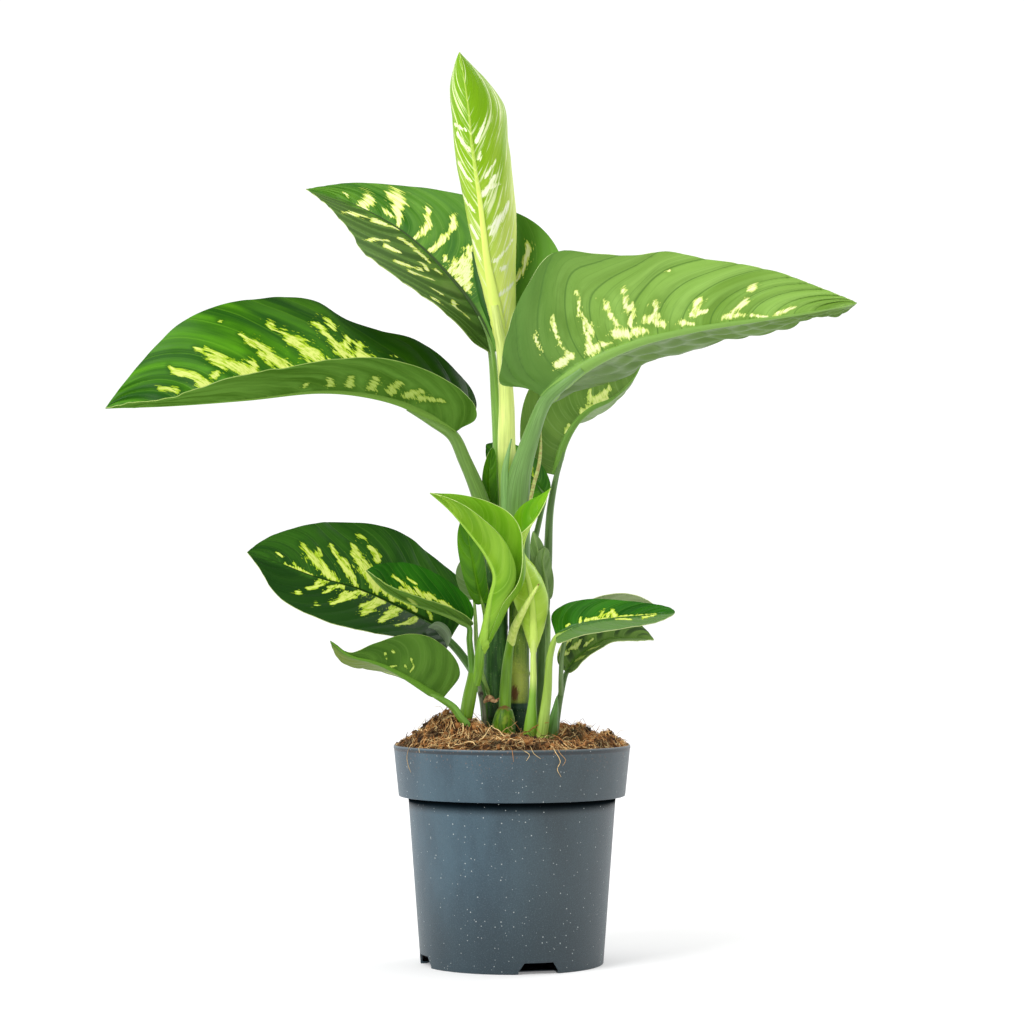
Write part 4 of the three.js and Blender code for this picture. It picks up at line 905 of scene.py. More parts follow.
class Shader:
    """A material, with short names for making its nodes."""

    def __init__(self, name):
        self.material = bpy.data.materials.new(name)
        self.material.use_nodes = True
        self.tree = self.material.node_tree
        self.surface = self.tree.nodes["Principled BSDF"]

    def put(self, socket, value):
        """Links a socket or sets a plain value."""
        if isinstance(value, bpy.types.NodeSocket):
            self.tree.links.new(value, socket)
        else:
            socket.default_value = value

    def node(self, kind, inputs=(), **settings):
        """A node with its settings and inputs."""
        made = self.tree.nodes.new(kind)
        for key, value in settings.items():
            setattr(made, key, value)
        for key, value in dict(inputs).items():
            self.put(made.inputs[key], value)
        return made

    def math(self, operation, a, b=0.0):
        """One operation on two numbers."""
        return self.node("ShaderNodeMath", {0: a, 1: b}, operation=operation).outputs[0]

    def times(self, a, b):
        """The product of two numbers."""
        return self.math("MULTIPLY", a, b)

    def ramp(self, value, low, high, start=0.0, end=1.0):
        """start below low, end above high, smooth between them."""
        inputs = {"Value": value, "From Min": low, "From Max": high, "To Min": start, "To Max": end}
        return self.node("ShaderNodeMapRange", inputs, interpolation_type="SMOOTHSTEP").outputs[0]

    def mix(self, factor, a, b):
        """From colour a to colour b by a factor."""
        made = self.node("ShaderNodeMix", {0: factor}, data_type="RGBA")
        for index, colour in ((6, a), (7, b)):
            known = isinstance(colour, bpy.types.NodeSocket)
            self.put(made.inputs[index], colour if known else linear(colour))
        return made.outputs[2]

    def over(self, ground, tone, value, low, high, start=0.0, end=1.0):
        """The ground with a tone over it, by a ramp on a value."""
        return self.mix(self.ramp(value, low, high, start, end), ground, tone)

    def value(self, name):
        """A value that the mesh carries."""
        return self.node("ShaderNodeAttribute", attribute_name=name).outputs["Fac"]

    def flat(self, scale):
        """The blade's own flat coordinates in centimetres, stretched."""
        source = self.node("ShaderNodeUVMap", uv_map="Blade").outputs[0]
        return self.stretch(source, (scale[0], scale[1], 1))

    def place(self, scale):
        """The place in the object's own space in centimetres, stretched."""
        source = self.node("ShaderNodeTexCoord").outputs["Object"]
        return self.stretch(source, tuple(100 * number for number in scale))

    def split(self, vector):
        """A vector's or a colour's three numbers."""
        return self.node("ShaderNodeSeparateXYZ", {0: vector}).outputs

    def height(self):
        """The height in the object's own space in centimetres."""
        return self.split(self.place((1, 1, 1)))[2]

    def distance(self, vector, point):
        """How far a vector is from a point."""
        made = self.node("ShaderNodeVectorMath", {0: vector, 1: point}, operation="DISTANCE")
        return made.outputs["Value"]

    def stretch(self, source, scale):
        """A vector times a scale."""
        made = self.node("ShaderNodeVectorMath", {0: source, 1: scale}, operation="MULTIPLY")
        return made.outputs[0]

    def noise(self, vector, detail=2.0, roughness=0.55):
        """Noise of about one cell a unit."""
        inputs = {"Vector": vector, "Scale": 1.0, "Detail": detail, "Roughness": roughness}
        return self.node("ShaderNodeTexNoise", inputs).outputs["Fac"]

    def bump(self, height, distance, strength=1.0):
        """Puts bumps of a height in millimetres on the surface."""
        inputs = {"Height": height, "Distance": distance * MM, "Strength": strength}
        self.put(self.surface.inputs["Normal"], self.node("ShaderNodeBump", inputs).outputs[0])

    def finish(self, colour, gloss, specular=0.5):
        """Sets the surface's colour, roughness and specular level."""
        self.put(self.surface.inputs["Base Color"], colour)
        self.put(self.surface.inputs["Roughness"], gloss)
        self.put(self.surface.inputs["Specular IOR Level"], specular)
        return self.material


def leaf_ground(shader, look, greens, sheet):
    """The green between the blotches: soft clouds, painted shade on one flank of each band, darker grooves
    or paler veins, and fine lines.
    """
    clouds = shader.noise(shader.flat((0.5, 0.2)), detail=3)
    ground = shader.over(greens["deep"], greens["mid"], clouds, 0.34, 0.66)
    lane = shader.math("FRACT", shader.value("band"))
    wave = shader.math("SINE", shader.times(shader.value("band"), 2 * math.pi))
    # Painted shade: one flank of each swelling band between the veins is darker.
    ground = shader.over(ground, greens["deep"], wave, -1.0, 1.0, 0.0, 0.28)
    near = shader.ramp(shader.value("cut"), -1.9, 0.0, 0.0, look.get("shade", 0.3))
    ground = shader.mix(near, ground, greens["deep"])
    groove = shader.ramp(shader.math("ABSOLUTE", shader.math("SUBTRACT", lane, 0.5)), 0.44, 0.5)
    ground = shader.mix(shader.times(groove, look.get("groove", 0.35)), ground, greens["vein"])
    lines = shader.noise(shader.flat((9.0, 0.35)), detail=3)
    ground = shader.over(ground, greens["vein"], lines, 0.5, 0.72, 0.0, look.get("lines", 0.3))
    along, across, _ = shader.split(shader.flat((1, 1)))
    if sheet + "_foot" in look:
        tone, length = look[sheet + "_foot"]
        ground = shader.over(ground, tone, along, 0.0, length, 0.9, 0.0)
    if sheet + "_tip" in look:
        tone, low, high = look[sheet + "_tip"]
        ground = shader.over(ground, tone, along, low, high, 0.0, 0.75)
    # A tone over the left half: painted shade on the right leaf and the low left leaf, a greyer green on the
    # upper left leaf.
    if "left_tone_and_shade" in look:
        ground = shader.over(ground, look["left_tone_and_shade"], across, -0.5, 0.0, 0.8, 0.0)
    # Painted shade in the folds of the left half: one flank of each band darker, most away from the rib.
    if "left_fold_shade" in look:
        tone, depth = look["left_fold_shade"]
        dark = shader.ramp(across, -0.5, 0.0, depth, 0.0)
        dark = shader.times(shader.ramp(wave, -0.1, 0.9), dark)
        ground = shader.mix(dark, ground, tone)
    if "right_tone" in look:
        ground = shader.over(ground, look["right_tone"], across, 0.0, 0.5, 0.0, 0.8)
    return ground, groove, lines


def blotched(shader, look, greens, ground):
    """The ground with ragged blotches along the veins, specks beside them, and streaks where asked for."""
    cut = shader.value("cut")
    ragged = shader.noise(shader.flat((3.6, 1.2)), detail=4, roughness=0.62)
    fine = shader.noise(shader.flat((8.0, 3.0)), detail=2)
    rough = shader.times(shader.math("SUBTRACT", ragged, 0.5), look.get("rough", 4.2))
    finer = shader.times(shader.math("SUBTRACT", fine, 0.5), 1.1)
    spot = shader.math("ADD", shader.math("ADD", cut, rough), finer)
    spot = shader.times(spot, shader.ramp(cut, -0.9, -0.2))
    colour = shader.over(ground, greens["blotch"], spot, 0.26, 0.4)
    core = shader.times(shader.ramp(spot, 0.45, 1.05), shader.ramp(fine, 0.3, 0.5, 0.5, 1.0))
    colour = shader.mix(core, colour, greens["cream"])
    speck = shader.ramp(shader.noise(shader.flat((7.0, 4.0)), detail=1), 0.68, 0.72)
    speck = shader.times(speck, shader.ramp(cut, -1.2, -0.5))
    colour = shader.mix(speck, colour, greens["blotch"])
    if "streaks" in look:
        share, strength = look["streaks"]
        streak = shader.noise(shader.flat((2.2, 0.5)), detail=4, roughness=0.6)
        streak = shader.ramp(streak, 0.6 - share, 0.72 - share, 0.0, strength)
        colour = shader.mix(streak, colour, greens["blotch"])
    return colour


def blade_material(name, look, sheet):
    """One side of a blade: green ground, veins, ragged blotches along them, and the midrib."""
    greens = dict(zip(TONES, GREENS[look[sheet]]))
    shader = Shader(name)
    ground, groove, lines = leaf_ground(shader, look, greens, sheet)
    colour = blotched(shader, look, greens, ground)
    rib = shader.ramp(shader.value("ridge"), 0.2, look.get("rib_edge", 0.5))
    if "rib_fade" in look:
        along = shader.split(shader.flat((1, 1)))[0]
        rib = shader.times(rib, shader.ramp(along, *look["rib_fade"], 1.0, 0.35))
    colour = shader.mix(rib, colour, greens["rib"])
    height = shader.math("ADD", shader.times(lines, 0.5), shader.times(groove, -0.5))
    shader.bump(height, 0.25, 0.6)
    gloss = shader.ramp(lines, 0.3, 0.7, look["gloss"] - 0.04, look["gloss"] + 0.06)
    shine = look.get(sheet + "_shine", look.get("shine", LEAF_SHINE))
    return shader.finish(colour, gloss, shine)


def margin_material(name, look):
    """The thin pale margin round a blade."""
    greens = dict(zip(TONES, GREENS[look["under"]]))
    shader = Shader(name)
    grain = shader.noise(shader.flat((2.0, 2.0)))
    return shader.finish(shader.mix(grain, greens["mid"], greens["cream"]), 0.45, 0.4)


def stalk_material(name, colour, foot=None):
    """A stalk with fine lengthwise streaks; foot gives another colour below a height in centimetres."""
    shader = Shader(name)
    streaks = shader.noise(shader.flat((9.0, 0.35)), detail=3)
    clouds = shader.noise(shader.flat((1.0, 0.4)))
    pale = [min(255, channel + 22) for channel in colour]
    dark = [channel * 0.88 for channel in colour]
    ground = shader.over(dark, pale, streaks, 0.35, 0.65)
    ground = shader.over(ground, colour, clouds, 0.3, 0.7, 0.2, 0.7)
    if foot is not None:
        tone, top = foot
        ground = shader.over(ground, tone, shader.height(), top - 0.5, top + 1.0, 0.9, 0.0)
    shader.bump(streaks, 0.25, 0.5)
    return shader.finish(ground, 0.42, 0.45)


def cane_material(name, low, high, foot, spots, foot_top=(16.5, 19.5)):
    """A cane's skin: two greens in streaks, another foot, pale specks and spots at given places."""
    shader = Shader(name)
    streaks = shader.noise(shader.place((5, 5, 0.5)), detail=3)
    ground = shader.over(low, high, streaks, 0.35, 0.65)
    specks = shader.noise(shader.place((14, 14, 9)), detail=2)
    for x, y, z, size, tall, soft, colour in spots:
        offset = shader.distance(shader.place((1, 1, 1 / tall)), (x / 10, y / 10, z / 10 / tall))
        uneven = shader.times(shader.math("SUBTRACT", specks, 0.5), 0.5)
        jagged = shader.math("ADD", offset, uneven)
        spot = shader.ramp(jagged, size / 10 * (1 - soft), size / 10 * (1 + soft), 1.0, 0.0)
        ground = shader.mix(spot, ground, colour)
    ground = shader.over(ground, foot, shader.height(), *foot_top, 1.0, 0.0)
    ground = shader.over(ground, (176, 196, 130), specks, 0.66, 0.72, 0.0, 0.55)
    shader.bump(streaks, 0.3, 0.6)
    return shader.finish(ground, 0.45, 0.35)


def bract_material():
    """The bract round the front shoot: streaked green with a withered brown top."""
    shader = Shader("shoot_bract")
    streaks = shader.noise(shader.place((6, 6, 0.6)), detail=3)
    ground = shader.over((58, 98, 2), (96, 136, 10), streaks, 0.35, 0.65)
    clouds = shader.noise(shader.place((1.2, 1.2, 1.2)), detail=2)
    ground = shader.over(ground, (150, 164, 60), clouds, 0.5, 0.66, 0.0, 0.5)
    jagged = shader.math("ADD", shader.height(), shader.times(streaks, 0.8))
    ground = shader.over(ground, (118, 84, 46), jagged, 18.55, 18.75)
    shader.bump(streaks, 0.3, 0.6)
    return shader.finish(ground, 0.45, 0.25)


def plain_material(name, low, high, gloss=0.5, scale=(4, 4, 4)):
    """Two colours in soft clouds, with a light bump."""
    shader = Shader(name)
    clouds = shader.noise(shader.place(scale), detail=3)
    shader.bump(clouds, 0.3, 0.6)
    return shader.finish(shader.over(low, high, clouds, 0.35, 0.65), gloss, 0.4)


def pot_material():
    """Dark blue-grey moulded plastic, grainy, with pale flecks; painted shade at one side, towards the foot,
    under the band and under the lip, and a painted highlight along the top edge.
    """
    shader = Shader("pot_plastic")
    band_foot = (POT_HEIGHT - BAND_HEIGHT) / 10
    lip = POT_HEIGHT / 10
    clouds = shader.noise(shader.place((0.35, 0.35, 0.12)), detail=3)
    ground = shader.over((42, 68, 82), (56, 84, 98), clouds, 0.35, 0.65)
    sideways, _, upwards = shader.split(shader.place((1, 1, 1)))
    # Painted shade: the right side darker and greyer.
    ground = shader.over(ground, (52, 62, 64), sideways, -3.5, 3.5, 0.0, 0.65)
    # Painted shade: darker towards the foot.
    ground = shader.over(ground, (26, 46, 54), upwards, 1.0, 8.0, 0.7, 0.0)
    grain = shader.noise(shader.place((12, 12, 12)), detail=4, roughness=0.8)
    ground = shader.over(ground, (30, 44, 52), grain, 0.36, 0.5, 0.35, 0.0)
    ground = shader.over(ground, (104, 122, 132), grain, 0.52, 0.72, 0.0, 0.4)
    shade = shader.ramp(upwards, band_foot - 0.02, band_foot + 0.01, 0.97, 0.0)
    shade = shader.times(shader.ramp(upwards, band_foot - 1.1, band_foot - 0.15), shade)
    ground = shader.mix(shade, ground, (2, 3, 4))
    # Painted shade: a dark line under the lip's overhang.
    below_lip = shader.math("ABSOLUTE", shader.math("SUBTRACT", upwards, lip - 0.25))
    ground = shader.over(ground, (22, 30, 36), below_lip, 0.06, 0.14, 0.85, 0.0)
    # Painted highlight: a pale line along the rim's rounded top edge.
    ground = shader.over(ground, (146, 148, 146), upwards, lip - 0.1, lip - 0.06, 0.0, 0.3)
    for scale, size, share in POT_FLECKS:
        cells = shader.node("ShaderNodeTexVoronoi", {"Vector": shader.place((scale,) * 3), "Scale": 1.0})
        fleck = shader.ramp(cells.outputs["Distance"], size * 0.5, size, 1.0, 0.0)
        drawn = shader.split(cells.outputs["Color"])[0]
        chosen = shader.math("LESS_THAN", drawn, share)
        ground = shader.mix(shader.times(fleck, chosen), ground, (176, 184, 184))
    smears = shader.noise(shader.place((7, 7, 5)), detail=3)
    dirt = shader.ramp(upwards, lip - 2.6, lip, 0.0, 0.75)
    dirt = shader.times(shader.ramp(smears, 0.62, 0.7), dirt)
    ground = shader.mix(dirt, ground, (128, 96, 74))
    shader.bump(grain, 0.25, 0.8)
    gloss = shader.ramp(shade, 0.0, 0.9, 0.6, 0.0)
    return shader.finish(ground, shader.ramp(grain, 0.3, 0.7, 0.36, 0.5), gloss)


def soil_material():
    """Dark brown crumbs with lighter brown between them."""
    shader = Shader("soil_crumbs")
    crumbs = shader.noise(shader.place((5, 5, 5)), detail=5, roughness=0.7)
    ground = shader.over((34, 22, 14), (118, 80, 48), crumbs, 0.35, 0.7)
    shader.bump(crumbs, 2.0, 0.9)
    return shader.finish(ground, 0.9, 0.2)


def fibre_material(name):
    """Coir: each fibre has a tone of its own, from near black through orange-brown to straw."""
    shader = Shader(name)
    tone = shader.value("tone")
    brown = shader.over((16, 10, 5), (196, 136, 76), tone, 0.0, 0.4)
    straw = shader.over(brown, (255, 222, 158), tone, 0.45, 0.85)
    streaks = shader.noise(shader.place((8, 8, 8)))
    colour = shader.over(straw, (104, 64, 34), streaks, 0.3, 0.7, 0.0, 0.25)
    patches = shader.noise(shader.place((0.8, 0.8, 0.8)), detail=2)
    colour = shader.over(colour, (34, 24, 12), patches, 0.48, 0.66, 0.0, 0.8)
    away = shader.distance(shader.place((1, 1, 1)), MOSSY_CLUMP)
    mossy = shader.ramp(away, 0.7, 1.25, 0.9, 0.0)
    mossy = shader.times(mossy, shader.ramp(tone, 0.75, 0.95, 1.0, 0.0))
    colour = shader.mix(mossy, colour, (38, 38, 16))
    return shader.finish(colour, 0.75, 0.25)


# Stems


def ring_swell(rings):
    """Adds a low ring to a cane's radius at each (height, size, half length)."""
    return lambda z: sum(size * np.exp(-(((z - at) / half) ** 2)) for at, size, half in rings)


def add_canes():
    """The two thick canes."""
    left = tube_part(
        [(-11, 2, 137), (-12, 1, 163), (-12, 0, 188), (-12, 0, 231), (-12, 0, 267), (-12, 1, 302)],
        [9.4, 9.3, 9, 9, 9, 8.4], sides=48, rings=160,
        swell=ring_swell([(176, 0.5, 1.2), (206, 0.45, 1.2), (240, 0.4, 1.3), (272, 0.4, 1.3)]))
    right = tube_part(
        [(5, -6, 137), (5, -6, 163), (5, -6, 188), (5, -6, 224), (5, -5, 260), (4, -5, 284)],
        [7.2, 7.2, 7.5, 7.4, 7.2, 7], sides=48, rings=160,
        swell=ring_swell([(182, 0.6, 1.2), (207, 0.6, 1.5), (236, 0.5, 1.4)]))
    blue = cane_material("cane_skin", (42, 86, 34), (76, 122, 56), (36, 72, 36),
                         [(-9, -9, 183, 1.8, 1.0, 0.3, (86, 66, 44)),
                          (-16, -8, 176, 1.4, 1.0, 0.3, (96, 84, 60))])
    olive = cane_material("cane_olive_skin", (52, 86, 12), (102, 128, 36), (32, 64, 44),
                          [(3.5, -13.5, 200, 6.5, 2.2, 0.75, (182, 194, 84)),
                           (1.5, -13, 193, 3.2, 1.7, 0.35, (118, 78, 40)),
                           (7, -12, 176, 1.4, 1.0, 0.3, (96, 84, 60))],
                          foot_top=(18.5, 18.7))
    add_in_place("cane_left", [left], [blue])
    add_in_place("cane_right", [right], [olive])


def add_shoots():
    """The left stalk, the front shoot with its bract and its bud, and the right sheath."""
    green = stalk_material("shoot_skin", (102, 150, 14))
    bract_skin = bract_material()
    bud = cane_material("shoot_bud", (186, 212, 92), (212, 228, 128), (200, 220, 110),
                        [(19, -62, 271, 2.2, 1.0, 0.3, (122, 76, 36))])
    left = tube_part([(-36, -29, 142), (-34, -30, 168), (-31, -32, 186), (-28, -34, 202), (-27, -34, 208)],
                     [4.4, 4.4, 4.7, 4.8, 4], sides=32, rings=60)
    add_in_place("stalk_left", [left], [green])
    stem = tube_part([(-5, -20, 138), (-5, -20, 164), (-5, -20, 189), (-3, -23, 217), (-1, -32, 231)],
                     [4.4, 4.4, 4.4, 3.8, 2.8], sides=32, rings=60)
    bract = tube_part([(-5, -24, 139), (-5.5, -24, 156), (-6, -24, 166), (-5.5, -24, 176), (-5, -24, 185)],
                      [6, 7, 8.2, 8, 5], choice=1, sides=32, rings=50, round_end=True)
    tip = tube_part([(-1, -30, 229), (2, -40, 240), (10, -54, 256), (19, -62, 271)], [3.2, 3, 2, 0.9],
                    choice=2, sides=24, rings=50, round_end=True)
    add_in_place("shoot_front", [stem, bract, tip], [green, bract_skin, bud])
    sheath = tube_part([(26, -29, 134), (27, -29, 157), (29, -28, 172), (31, -26, 184), (32, -25, 192)],
                       [3.4, 3.8, 4.2, 3, 0.8], sides=28, rings=50, round_end=True)
    add_in_place("sheath_right", [sheath], [stalk_material("sheath_skin", (86, 134, 50))])


# Pot


def pot_profile():
    """Radius and height round the pot's section, from the floor's underside over the rim to the floor."""
    foot, top, band, rim = BODY_FOOT_RADIUS, BODY_TOP_RADIUS, BAND_FOOT_RADIUS, RIM_RADIUS
    step = POT_HEIGHT - BAND_HEIGHT
    wide = (rim - band) / BAND_HEIGHT
    lip = POT_HEIGHT - LIP_HEIGHT
    outer = [(0, 0.6), (foot - 6, 0.6), (foot - 4, 0), (foot - 0.5, 0), (foot, 0.5)]
    outer += [(foot + (top - foot) * t, step * t) for t in np.linspace(0.04, 0.985, 30)]
    outer += [(top + 0.2, step - 0.6), (top + 1, step)]
    outer += [(band - 0.8, step), (band - 0.15, step + 0.25), (band + 0.05, step + 0.9)]
    outer += [(band + wide * z, step + z) for z in np.linspace(2.5, BAND_HEIGHT - LIP_HEIGHT - 0.4, 12)]
    outer += [(rim - 0.1, lip), (rim, lip + 0.4), (rim, POT_HEIGHT - 0.7), (rim - 0.3, POT_HEIGHT - 0.15)]
    outer += [(rim - 0.75, POT_HEIGHT)]
    inner = [(rim - WALL, POT_HEIGHT - 0.5), (band - WALL, step + WALL + 0.5)]
    inner += [(top - WALL, step + WALL - 0.5), (foot - WALL, WALL + 0.5), (foot - WALL - 1, WALL), (0, WALL)]
    return outer + inner


def lathe(profile, sides):
    """Points and faces of a profile turned round the pot's axis; its ends lie on the axis."""
    turn = 2 * np.pi * np.arange(sides) / sides
    ring = np.array(profile[1:-1])
    x = ring[:, 0, None] * np.cos(turn)
    y = ring[:, 0, None] * np.sin(turn)
    z = np.broadcast_to(ring[:, 1, None], x.shape)
    points = np.stack([x, y, z], -1).reshape(-1, 3)
    faces = grid_faces(len(ring), sides, closed=True).tolist()
    first = len(points)
    points = np.vstack([points, [0, 0, profile[0][1]], [0, 0, profile[-1][1]]])
    last = (len(ring) - 1) * sides
    for side in range(sides):
        nxt = (side + 1) % sides
        faces.append((first, nxt, side))
        faces.append((first + 1, last + side, last + nxt))
    return points, faces


def notch_cutter(turn):
    """A block with a sloped top, across the corner between wall and floor."""
    low, mid, top = -1.0, 2.0, NOTCH_HEIGHT
    wide, narrow = NOTCH_WIDTH / 2, NOTCH_TOP_WIDTH / 2
    outline = [(-wide, low), (wide, low), (wide, mid), (narrow, top), (-narrow, top), (-wide, mid)]
    near = -(BODY_FOOT_RADIUS + NOTCH_REACH)
    far = near + 2 * NOTCH_REACH
    points = np.array([(x, y, z) for y in (near, far) for x, z in outline])
    angle = math.radians(turn)
    cos, sin = math.cos(angle), math.sin(angle)
    spin = np.array([[cos, -sin, 0], [sin, cos, 0], [0, 0, 1]])
    count = len(outline)
    faces = [tuple(range(count)), tuple(range(2 * count - 1, count - 1, -1))]
    for index in range(count):
        nxt = (index + 1) % count
        faces.append((index, index + count, nxt + count, nxt))
    return points @ spin.T, faces


def add_pot():
    """The pot, with its drain notches cut out."""
    points, faces = lathe(pot_profile(), POT_SIDES)
    pot = add_mesh("pot_visual", points, faces, [pot_material()])
    cutters = []
    for index in range(NOTCH_COUNT):
        block, sides = notch_cutter(NOTCH_TURN + index * 360 / NOTCH_COUNT)
        cutter = add_mesh(f"notch_{index}", block, sides, [])
        cut = pot.modifiers.new("notch", "BOOLEAN")
        cut.operation = "DIFFERENCE"
        cut.solver = "EXACT"
        cut.object = cutter
        cutters.append(cutter)
    bpy.context.view_layer.update()
    shaped = bpy.data.meshes.new_from_object(pot.evaluated_get(bpy.context.evaluated_depsgraph_get()))
    pot.modifiers.clear()
    pot.data = shaped
    shaped.set_sharp_from_angle(angle=math.radians(POT_SHARP_ANGLE))
    for cutter in cutters:
        bpy.data.objects.remove(cutter)
    dress(pot, "pot")


# Growing mix


def soil_height(x, y):
    """The mound's height, as in the solids' source."""
    heaps = sum(high * np.exp(-((x - cx) ** 2 + (y - cy) ** 2) / spread**2)
                for cx, cy, high, spread in SOIL_HEAPS)
    return SOIL_RIM + heaps


def soil_surface(x, y):
    """The mound with its crumbs, let down at the rim."""
    radius = np.hypot(x, y)
    edge = np.clip((RIM_RADIUS - WALL - 0.5 - radius) / SOIL_EDGE, 0, 1)
    rough = sum(high * bumps(x + 100, y + 100, (cells, cells), SEED + index)
                for index, (high, cells) in enumerate(SOIL_ROUGHNESS))
    return POT_HEIGHT - 2 + (soil_height(x, y) + rough - POT_HEIGHT + 2) * edge


def add_soil():
    """The mound inside the rim."""
    rim = RIM_RADIUS - WALL - 0.6
    radius, turn = np.meshgrid(np.linspace(0.02, 1, SOIL_RINGS) * rim,
                               2 * np.pi * np.arange(SOIL_SIDES) / SOIL_SIDES, indexing="ij")
    x = radius * np.cos(turn)
    y = radius * np.sin(turn)
    top = np.stack([x, y, soil_surface(x, y)], -1)
    foot = top[-1:] * np.array([0.95, 0.95, 0]) + np.array([0, 0, POT_HEIGHT - 30])
    rows = np.concatenate([top, foot])
    points = rows.reshape(-1, 3)
    faces = grid_faces(len(rows), SOIL_SIDES, closed=True).tolist()
    faces.append(tuple(range(SOIL_SIDES - 1, -1, -1)))
    last = len(points) - SOIL_SIDES
    faces.append(tuple(range(last, last + SOIL_SIDES)))
    dress(add_mesh("soil_visual", points, faces, [soil_material()]), "soil")


def add_crumbs():
    """Small rough lumps lying on the mound: stretched twenty-sided bodies."""
    random = np.random.default_rng(SEED + 5)
    golden = (1 + 5**0.5) / 2
    pairs = [(a, b * golden) for a in (-1, 1) for b in (-1, 1)]
    corners = unit(np.array([(a, b, 0) for a, b in pairs] + [(0, a, b) for a, b in pairs]
                            + [(b, 0, a) for a, b in pairs], float))
    count = len(corners)
    near = np.linalg.norm(corners[:, None] - corners, axis=-1) < 1.1
    hull = [(a, b, c) for a, b, c in combinations(range(count), 3)
            if near[a, b] and near[b, c] and near[a, c]]
    hull = [(a, b, c) if np.linalg.det(corners[[a, b, c]]) > 0 else (a, c, b) for a, b, c in hull]
    radius = (RIM_RADIUS - 5) * np.sqrt(random.random(CRUMBS))
    turn = 2 * np.pi * random.random(CRUMBS)
    x = radius * np.cos(turn)
    y = radius * np.sin(turn)
    size = 0.7 + 1.6 * random.random(CRUMBS) ** 3
    middle = np.stack([x, y, soil_surface(x, y) + 0.4 * size], -1)
    shape = size[:, None, None] * (corners * random.uniform(0.7, 1.4, (CRUMBS, 1, 3)))
    shape = shape * random.uniform(0.75, 1.25, (CRUMBS, count, 1))
    points = (middle[:, None] + shape).reshape(-1, 3)
    faces = (np.array(hull)[None] + count * np.arange(CRUMBS)[:, None, None]).reshape(-1, 3)
    tone = np.repeat(0.34 * random.random(CRUMBS), count)
    skin = fibre_material("crumbs")
    dress(add_mesh("soil_crumbs_visual", points, faces, [skin], None, {"tone": tone}))


def add_strands(name, lines, radii, tones):
    """Thin three-sided tubes along lines of equally many points, tapering to both ends."""
    count, steps = lines.shape[:2]
    along = unit(np.gradient(lines, axis=1))
    side = unit(np.cross(along, np.array([0.31, 0.17, 1.0])))
    top = np.cross(side, along)
    turn = 2 * np.pi * np.arange(3) / 3
    out = np.cos(turn)[:, None] * side[:, :, None] + np.sin(turn)[:, None] * top[:, :, None]
    taper = np.sqrt(np.sin(np.pi * np.linspace(0.06, 0.94, steps)))
    rings = lines[:, :, None] + out * (radii[:, None] * taper[None])[:, :, None, None]
    first = 3 * steps * np.arange(count)[:, None, None]
    walls = (grid_faces(steps, 3, closed=True) + first).reshape(-1, 4)
    ends = np.array([(0, 2, 1), (3 * steps - 3, 3 * steps - 2, 3 * steps - 1)])
    caps = (ends + first).reshape(-1, 3)
    skin = fibre_material(name + "_coir")
    piece = add_mesh(name, rings.reshape(-1, 3), walls.tolist() + caps.tolist(), [skin], None,
                     {"tone": np.repeat(tones, 3 * steps)})
    dress(piece)


def add_fibres():
    """Coir strands that lie over the mound, some standing up."""
    random = np.random.default_rng(SEED + 9)
    radius = (RIM_RADIUS - 3.5) * random.random(FIBRES) ** 0.45
    turn = 2 * np.pi * random.random(FIBRES)
    start = np.stack([radius * np.cos(turn), radius * np.sin(turn)], -1)
    length = 5 + 20 * random.random(FIBRES) ** 2
    heading = 2 * np.pi * random.random(FIBRES)
    bend = random.normal(0, 0.09, FIBRES)
    rise = np.where(random.random(FIBRES) < STANDING_SHARE, random.uniform(0.15, 0.6, FIBRES), 0.02)
    share = np.linspace(-0.5, 0.5, 6)
    run = length[:, None] * share[None]
    angle = heading[:, None] + bend[:, None] * run
    step = np.stack([np.cos(angle), np.sin(angle)], -1) * (length / 5)[:, None, None]
    flat = start[:, None] + np.cumsum(step, axis=1) - step.sum(1, keepdims=True) / 2
    away = np.linalg.norm(flat, axis=-1, keepdims=True)
    flat = flat * np.minimum(1, (RIM_RADIUS - 1.2) / away)
    lift = 0.3 + 1.4 * random.random(FIBRES)[:, None] + rise[:, None] * (run + length[:, None] / 2)
    sway = 0.8 * np.sin(random.uniform(0, 6.28, (FIBRES, 1)) + 9 * share[None])
    ground = np.maximum(soil_surface(flat[..., 0], flat[..., 1]), POT_HEIGHT - 1)
    height = ground + lift + sway * (lift > 1.2)
    lines = np.concatenate([flat, height[..., None]], -1)
    radii = 0.12 + 0.34 * random.random(FIBRES) ** 2
    tones = random.random(FIBRES)
    add_strands("soil_fibres_visual", lines, radii, tones)


def add_roots():
    """Fine roots that hang over the rim, close to the round wall."""
    radii, tones, routes = zip(*ROOT_HAIRS)
    lines = np.array([curve_points(route, 23) for route in routes])
    lines[..., 1] = -np.sqrt(lines[..., 1] ** 2 - lines[..., 0] ** 2)
    add_strands("root_hairs_visual", lines, np.array(radii), tones)


# Sheaths and other thin strips


